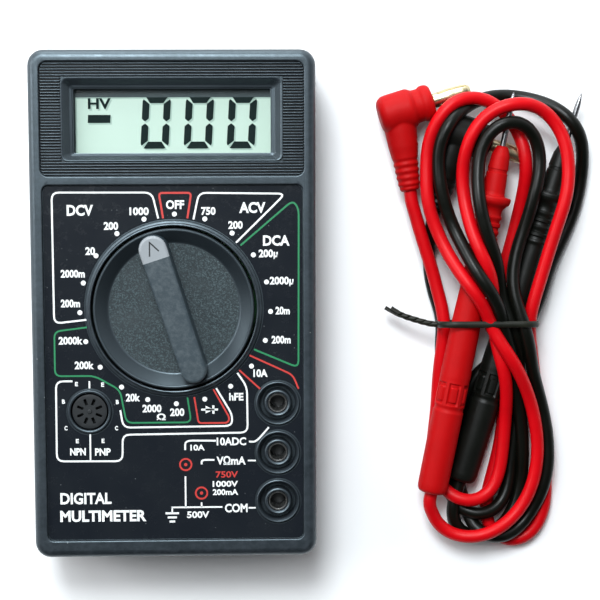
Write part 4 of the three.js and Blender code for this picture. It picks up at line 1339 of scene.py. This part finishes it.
PROBE_PROFILE = through([
    (0, 3.1), (0.25, 3.5), (0.8, 3.8), (2, 3.95), (12, 4.0), (22.0, 4.0), (22.3, 3.78), (23.1, 3.74),
    (23.4, 3.92), (30.6, 3.92), (31.0, 3.98), (44, 3.84), (58, 3.3), (64, 3.15), (75.4, 3.15), (76.2, 3.5),
    (77.3, 4.6), (77.9, 4.86), (78.7, 4.9), (79.0, 4.7), (79.15, 3.3), (79.8, 3.0), (84, 2.75), (85, 2.7),
    (85.15, 2.5), (85.9, 2.5), (86.05, 2.65), (89.5, 2.35), (91.4, 1.7), (91.9, 1.35), (92.0, 0.9)])
RIB_BAND = (65.0, 74.6)
SLOT_BAND = (23.8, 29.4)


def probe_radius(s, angle):
    r = PROBE_PROFILE(s)
    if RIB_BAND[0] < s < RIB_BAND[1]:
        wave = math.sin(TAU * (s - RIB_BAND[0]) / 1.92 - TAU / 4)
        r += 0.36 * max(0.0, min(1.0, 0.6 + wave * 1.6))
    if SLOT_BAND[0] <= s <= SLOT_BAND[1]:
        across = abs((angle * 6 / TAU) % 1 - 0.5)
        edge = min(s - SLOT_BAND[0], SLOT_BAND[1] - s)
        if across < 0.33 and (across > 0.2 or edge < 0.7):
            r -= 0.42
    return r


def probe(lead, handle_look, tip_look):
    shell = Shell()
    fine = [0.35 * i for i in range(1, int(92 / 0.35) + 1)]
    knots = [0, 0.25, 0.8, 22.0, 22.3, 23.1, 23.4, 77.9, 78.7, 79.0, 79.15, 85, 85.15, 85.9, 86.05]
    knots += [91.9, 92.0]
    stations = sorted(set(knots) | {s for s in fine if min(abs(s - k) for k in knots) > 0.1})
    shaped_along_x(shell, stations, probe_radius, 60, lead.probe)
    handle = shell.piece(f"{lead.colour}_probe_body", "test_leads", handle_look, f"{lead.colour}_vinyl",
                         [f"{lead.colour}_probe_handle"], sharp=38)
    needle = Shell()
    sharp_end = through([(92.3, 0.75), (102.6, 0.74), (104.2, 0.55), (105.6, 0.2), (106.0, 0.02)])
    shaped_along_x(needle, [91.5, 92.3, 97, 102.0, 102.6, 103.4, 104.2, 105, 105.6, 106.0],
                   lambda s, a: sharp_end(s), 24, lead.probe)
    tip = needle.piece(f"{lead.colour}_probe_needle", "test_leads", tip_look, "probe_steel",
                       [f"{lead.colour}_probe_tip"])
    return handle, tip


BARREL_PROFILE = through([
    (-5, 3.2), (-4.8, 3.8), (-4.2, 4.6), (-3.3, 5.1), (-2, 5.2), (3.2, 5.2), (3.9, 4.9), (4.4, 4.4),
    (6.2, 4.3), (6.7, 4.7), (7.2, 4.85), (8.4, 4.7), (9.0, 4.4), (9.3, 3.9)])
SLEEVE_PROFILE = through([(0, 4.3), (5, 4.15), (9, 3.85), (11, 3.5), (18.6, 2.95), (20, 2.6), (20.5, 2.2)])
PIN_PROFILE = through([
    (9.0, 1.5), (9.6, 1.9), (10.6, 1.92), (13.6, 2.15), (17.4, 1.95), (18.6, 1.75), (19.3, 1.3), (19.5, 0.9)])


def sleeve_radius(s, angle):
    """The strain relief: plain at first, then five soft ribs."""
    r = SLEEVE_PROFILE(s)
    if 11 < s < 19.6:
        r -= 0.32 * (0.5 + 0.5 * math.cos(TAU * (s - 11) / 1.72)) * (1 if s > 11.4 else 0)
    return r


def pin_radius(s, angle):
    """The spring pin: a bulged round pin with four slots."""
    split = abs((angle * 4 / TAU) % 1 - 0.5) < 0.06 and 10.8 < s < 18.4
    return PIN_PROFILE(s) - (0.55 if split else 0)


def plug(lead, body_look, pin_look):
    shell = Shell()
    shaped_along_x(shell, np.linspace(-5, 9.3, 60), lambda s, a: BARREL_PROFILE(s), 56, lead.plug)
    shaped_along_x(shell, np.linspace(0, 20.5, 84), sleeve_radius, 48, lead.relief)
    name = f"{lead.colour}_plug"
    body = new_object(f"{name}_moulding", shell.mesh(f"{name}_moulding", [body_look]), "test_leads",
                      [f"{name}_body"])
    joined = body.modifiers.new("joined", "REMESH")
    joined.mode = "VOXEL"
    joined.voxel_size = 0.24 * MM
    joined.use_smooth_shade = True
    eased = body.modifiers.new("eased", "SMOOTH")
    eased.iterations = 4
    eased.factor = 0.5
    pin = Shell()
    shaped_along_x(pin, np.linspace(9.0, 19.5, 48), pin_radius, 64, lead.plug)
    stands_for = [f"{name}_pin"]
    metal_pin = pin.piece(f"{name}_spring_pin", "test_leads", pin_look, "pin_brass", stands_for, sharp=40)
    return body, metal_pin


def wound_strip(points, ups, half_wide, half_thick):
    """A flat wire covering with a round core, swept along a line. ups are its flat side's directions."""
    section = [(math.cos(a) * half_wide, math.sin(a) * half_thick * (0.55 + 0.45 * abs(math.sin(a)) ** 0.5))
               for a in np.linspace(0, TAU, 20, endpoint=False)]
    loops = []
    for i, (p, up) in enumerate(zip(points, ups)):
        ahead = points[min(i + 1, len(points) - 1)] - points[max(i - 1, 0)]
        side = ahead.normalized().cross(up).normalized()
        over = side.cross(ahead.normalized())
        loops.append([tuple(p + side * u + over * v) for u, v in section])
    return loops


def twist_tie():
    """A plastic-covered wire round the bundle, its ends twisted together and bent away."""
    shell = Shell()
    half = TIE_THICK / 2
    x0, x1 = TIE_LOW.x + half, TIE_HIGH.x - half
    z0, z1 = TIE_LOW.z + half, TIE_HIGH.z - half
    middle = (TIE_LOW.y + TIE_HIGH.y) / 2
    track = rounded(x0, x1, z0, z1, TIE_CORNER - half, 0, 10)
    centre = Vector(((x0 + x1) / 2, middle, (z0 + z1) / 2))
    points, ups = [], []
    for i, (x, z, _) in enumerate(track):
        drift = 0.45 * math.sin(TAU * i / len(track))
        points.append(Vector((x, middle + drift, z)))
        ups.append((points[-1] - centre).normalized())
    loops = wound_strip(points + [points[0]], ups + [ups[0]], 0.84, 0.42)
    rings = [shell.ring(loop) for loop in loops[:-1]]
    for a, b in zip(rings, rings[1:] + rings[:1]):
        shell.skin(a, b)
    tail = smooth_line(TIE_TAIL, 60)
    for phase in (0, TAU / 2):
        line, flats = [], []
        for i, p in enumerate(tail):
            share = i / (len(tail) - 1)
            a = phase + TAU * 2.6 * min(share / 0.72, 1.0)
            apart = 0.42 if share < 0.72 else 0.42 + 1.0 * (share - 0.72) * (1 if phase else 0.4)
            across = Vector((0, math.cos(a), math.sin(a)))
            line.append(Vector(p) + across * apart)
            flats.append(across)
        cut = len(line) if not phase else len(line) - 7
        shell.closed_sweep(wound_strip(line[:cut], flats[:cut], 0.66, 0.38))
    shell.piece("bundle_tie_wire", "test_leads", LOOK["tie"], "tie_plastic", ["twist_tie"], sharp=50)


def test_leads():
    lines = settle((RED, BLACK))
    for lead, line in zip((RED, BLACK), lines):
        body, pin = plug(lead, LOOK[f"{lead.colour}_plug"], LOOK["pin"])
        handle, needle = probe(lead, LOOK[f"{lead.colour}_plug"], LOOK["needle"])
        make_cord(lead, line, LOOK[f"{lead.colour}_lead"])
    twist_tie()


# ---------------------------------------------------------------- pieces inside the case

INSIDE = {
    "insert": ["lcd_frame"],
    "silicone": ["zebra_strip"],
    "board": ["circuit_board"],
    "fuse": ["fuse_glass"],
    "steel": ["fuse_cap_1", "fuse_cap_2", "detent_ball_1", "detent_ball_2", "detent_spring_1",
              "detent_spring_2", "board_screw_1", "board_screw_2", "board_screw_3",
              "battery_terminal_positive", "battery_terminal_negative"],
    "brass": ["fuse_clip_1", "fuse_clip_2", "contact_wiper_1", "contact_wiper_2", "contact_wiper_3"],
    "shunt": ["shunt_wire"],
    "epoxy": ["chip_blob"],
    "pot": ["trim_potentiometer"],
    "resistor": ["resistor_1", "resistor_2", "resistor_3", "resistor_4"],
    "capacitor": ["capacitor_1", "capacitor_2"],
    "battery": ["battery"],
    "black_plug": ["battery_snap"],
    "red_lead": ["battery_wire_red"],
    "black_lead": ["battery_wire_black"],
}
SOFTENED = {
    "battery": 0.5, "capacitor_1": 0.6, "trim_potentiometer": 0.3, "battery_snap": 0.4, "lcd_frame": 0.3,
}


def inner_pieces():
    for node, look in [(node, look) for look, nodes in INSIDE.items() for node in nodes]:
        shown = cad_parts[node]
        shown.data.materials.clear()
        shown.data.materials.append(LOOK[look])
        if node in SOFTENED:
            eased = shown.modifiers.new("eased_edges", "BEVEL")
            eased.width = SOFTENED[node] * MM
            eased.segments = 3
            eased.limit_method = "ANGLE"


make_camera()
test_leads()
make_stage()
front_case()
display_ribs()
rear_cover()
label_film()
white_print()
red_print()
green_print()
display()
selector()
for jack, jack_y in zip(("jack_10a", "jack_volt", "jack_com"), JACK_YS):
    jack_sleeve(jack, jack_y)
transistor_socket()
for number, screw_at in enumerate(SCREWS, 1):
    cross_screw(f"case_screw_{number}", *screw_at)
inner_pieces()

view = bpy.context.scene.view_settings
view.view_transform = "Standard"
view.look = "None"
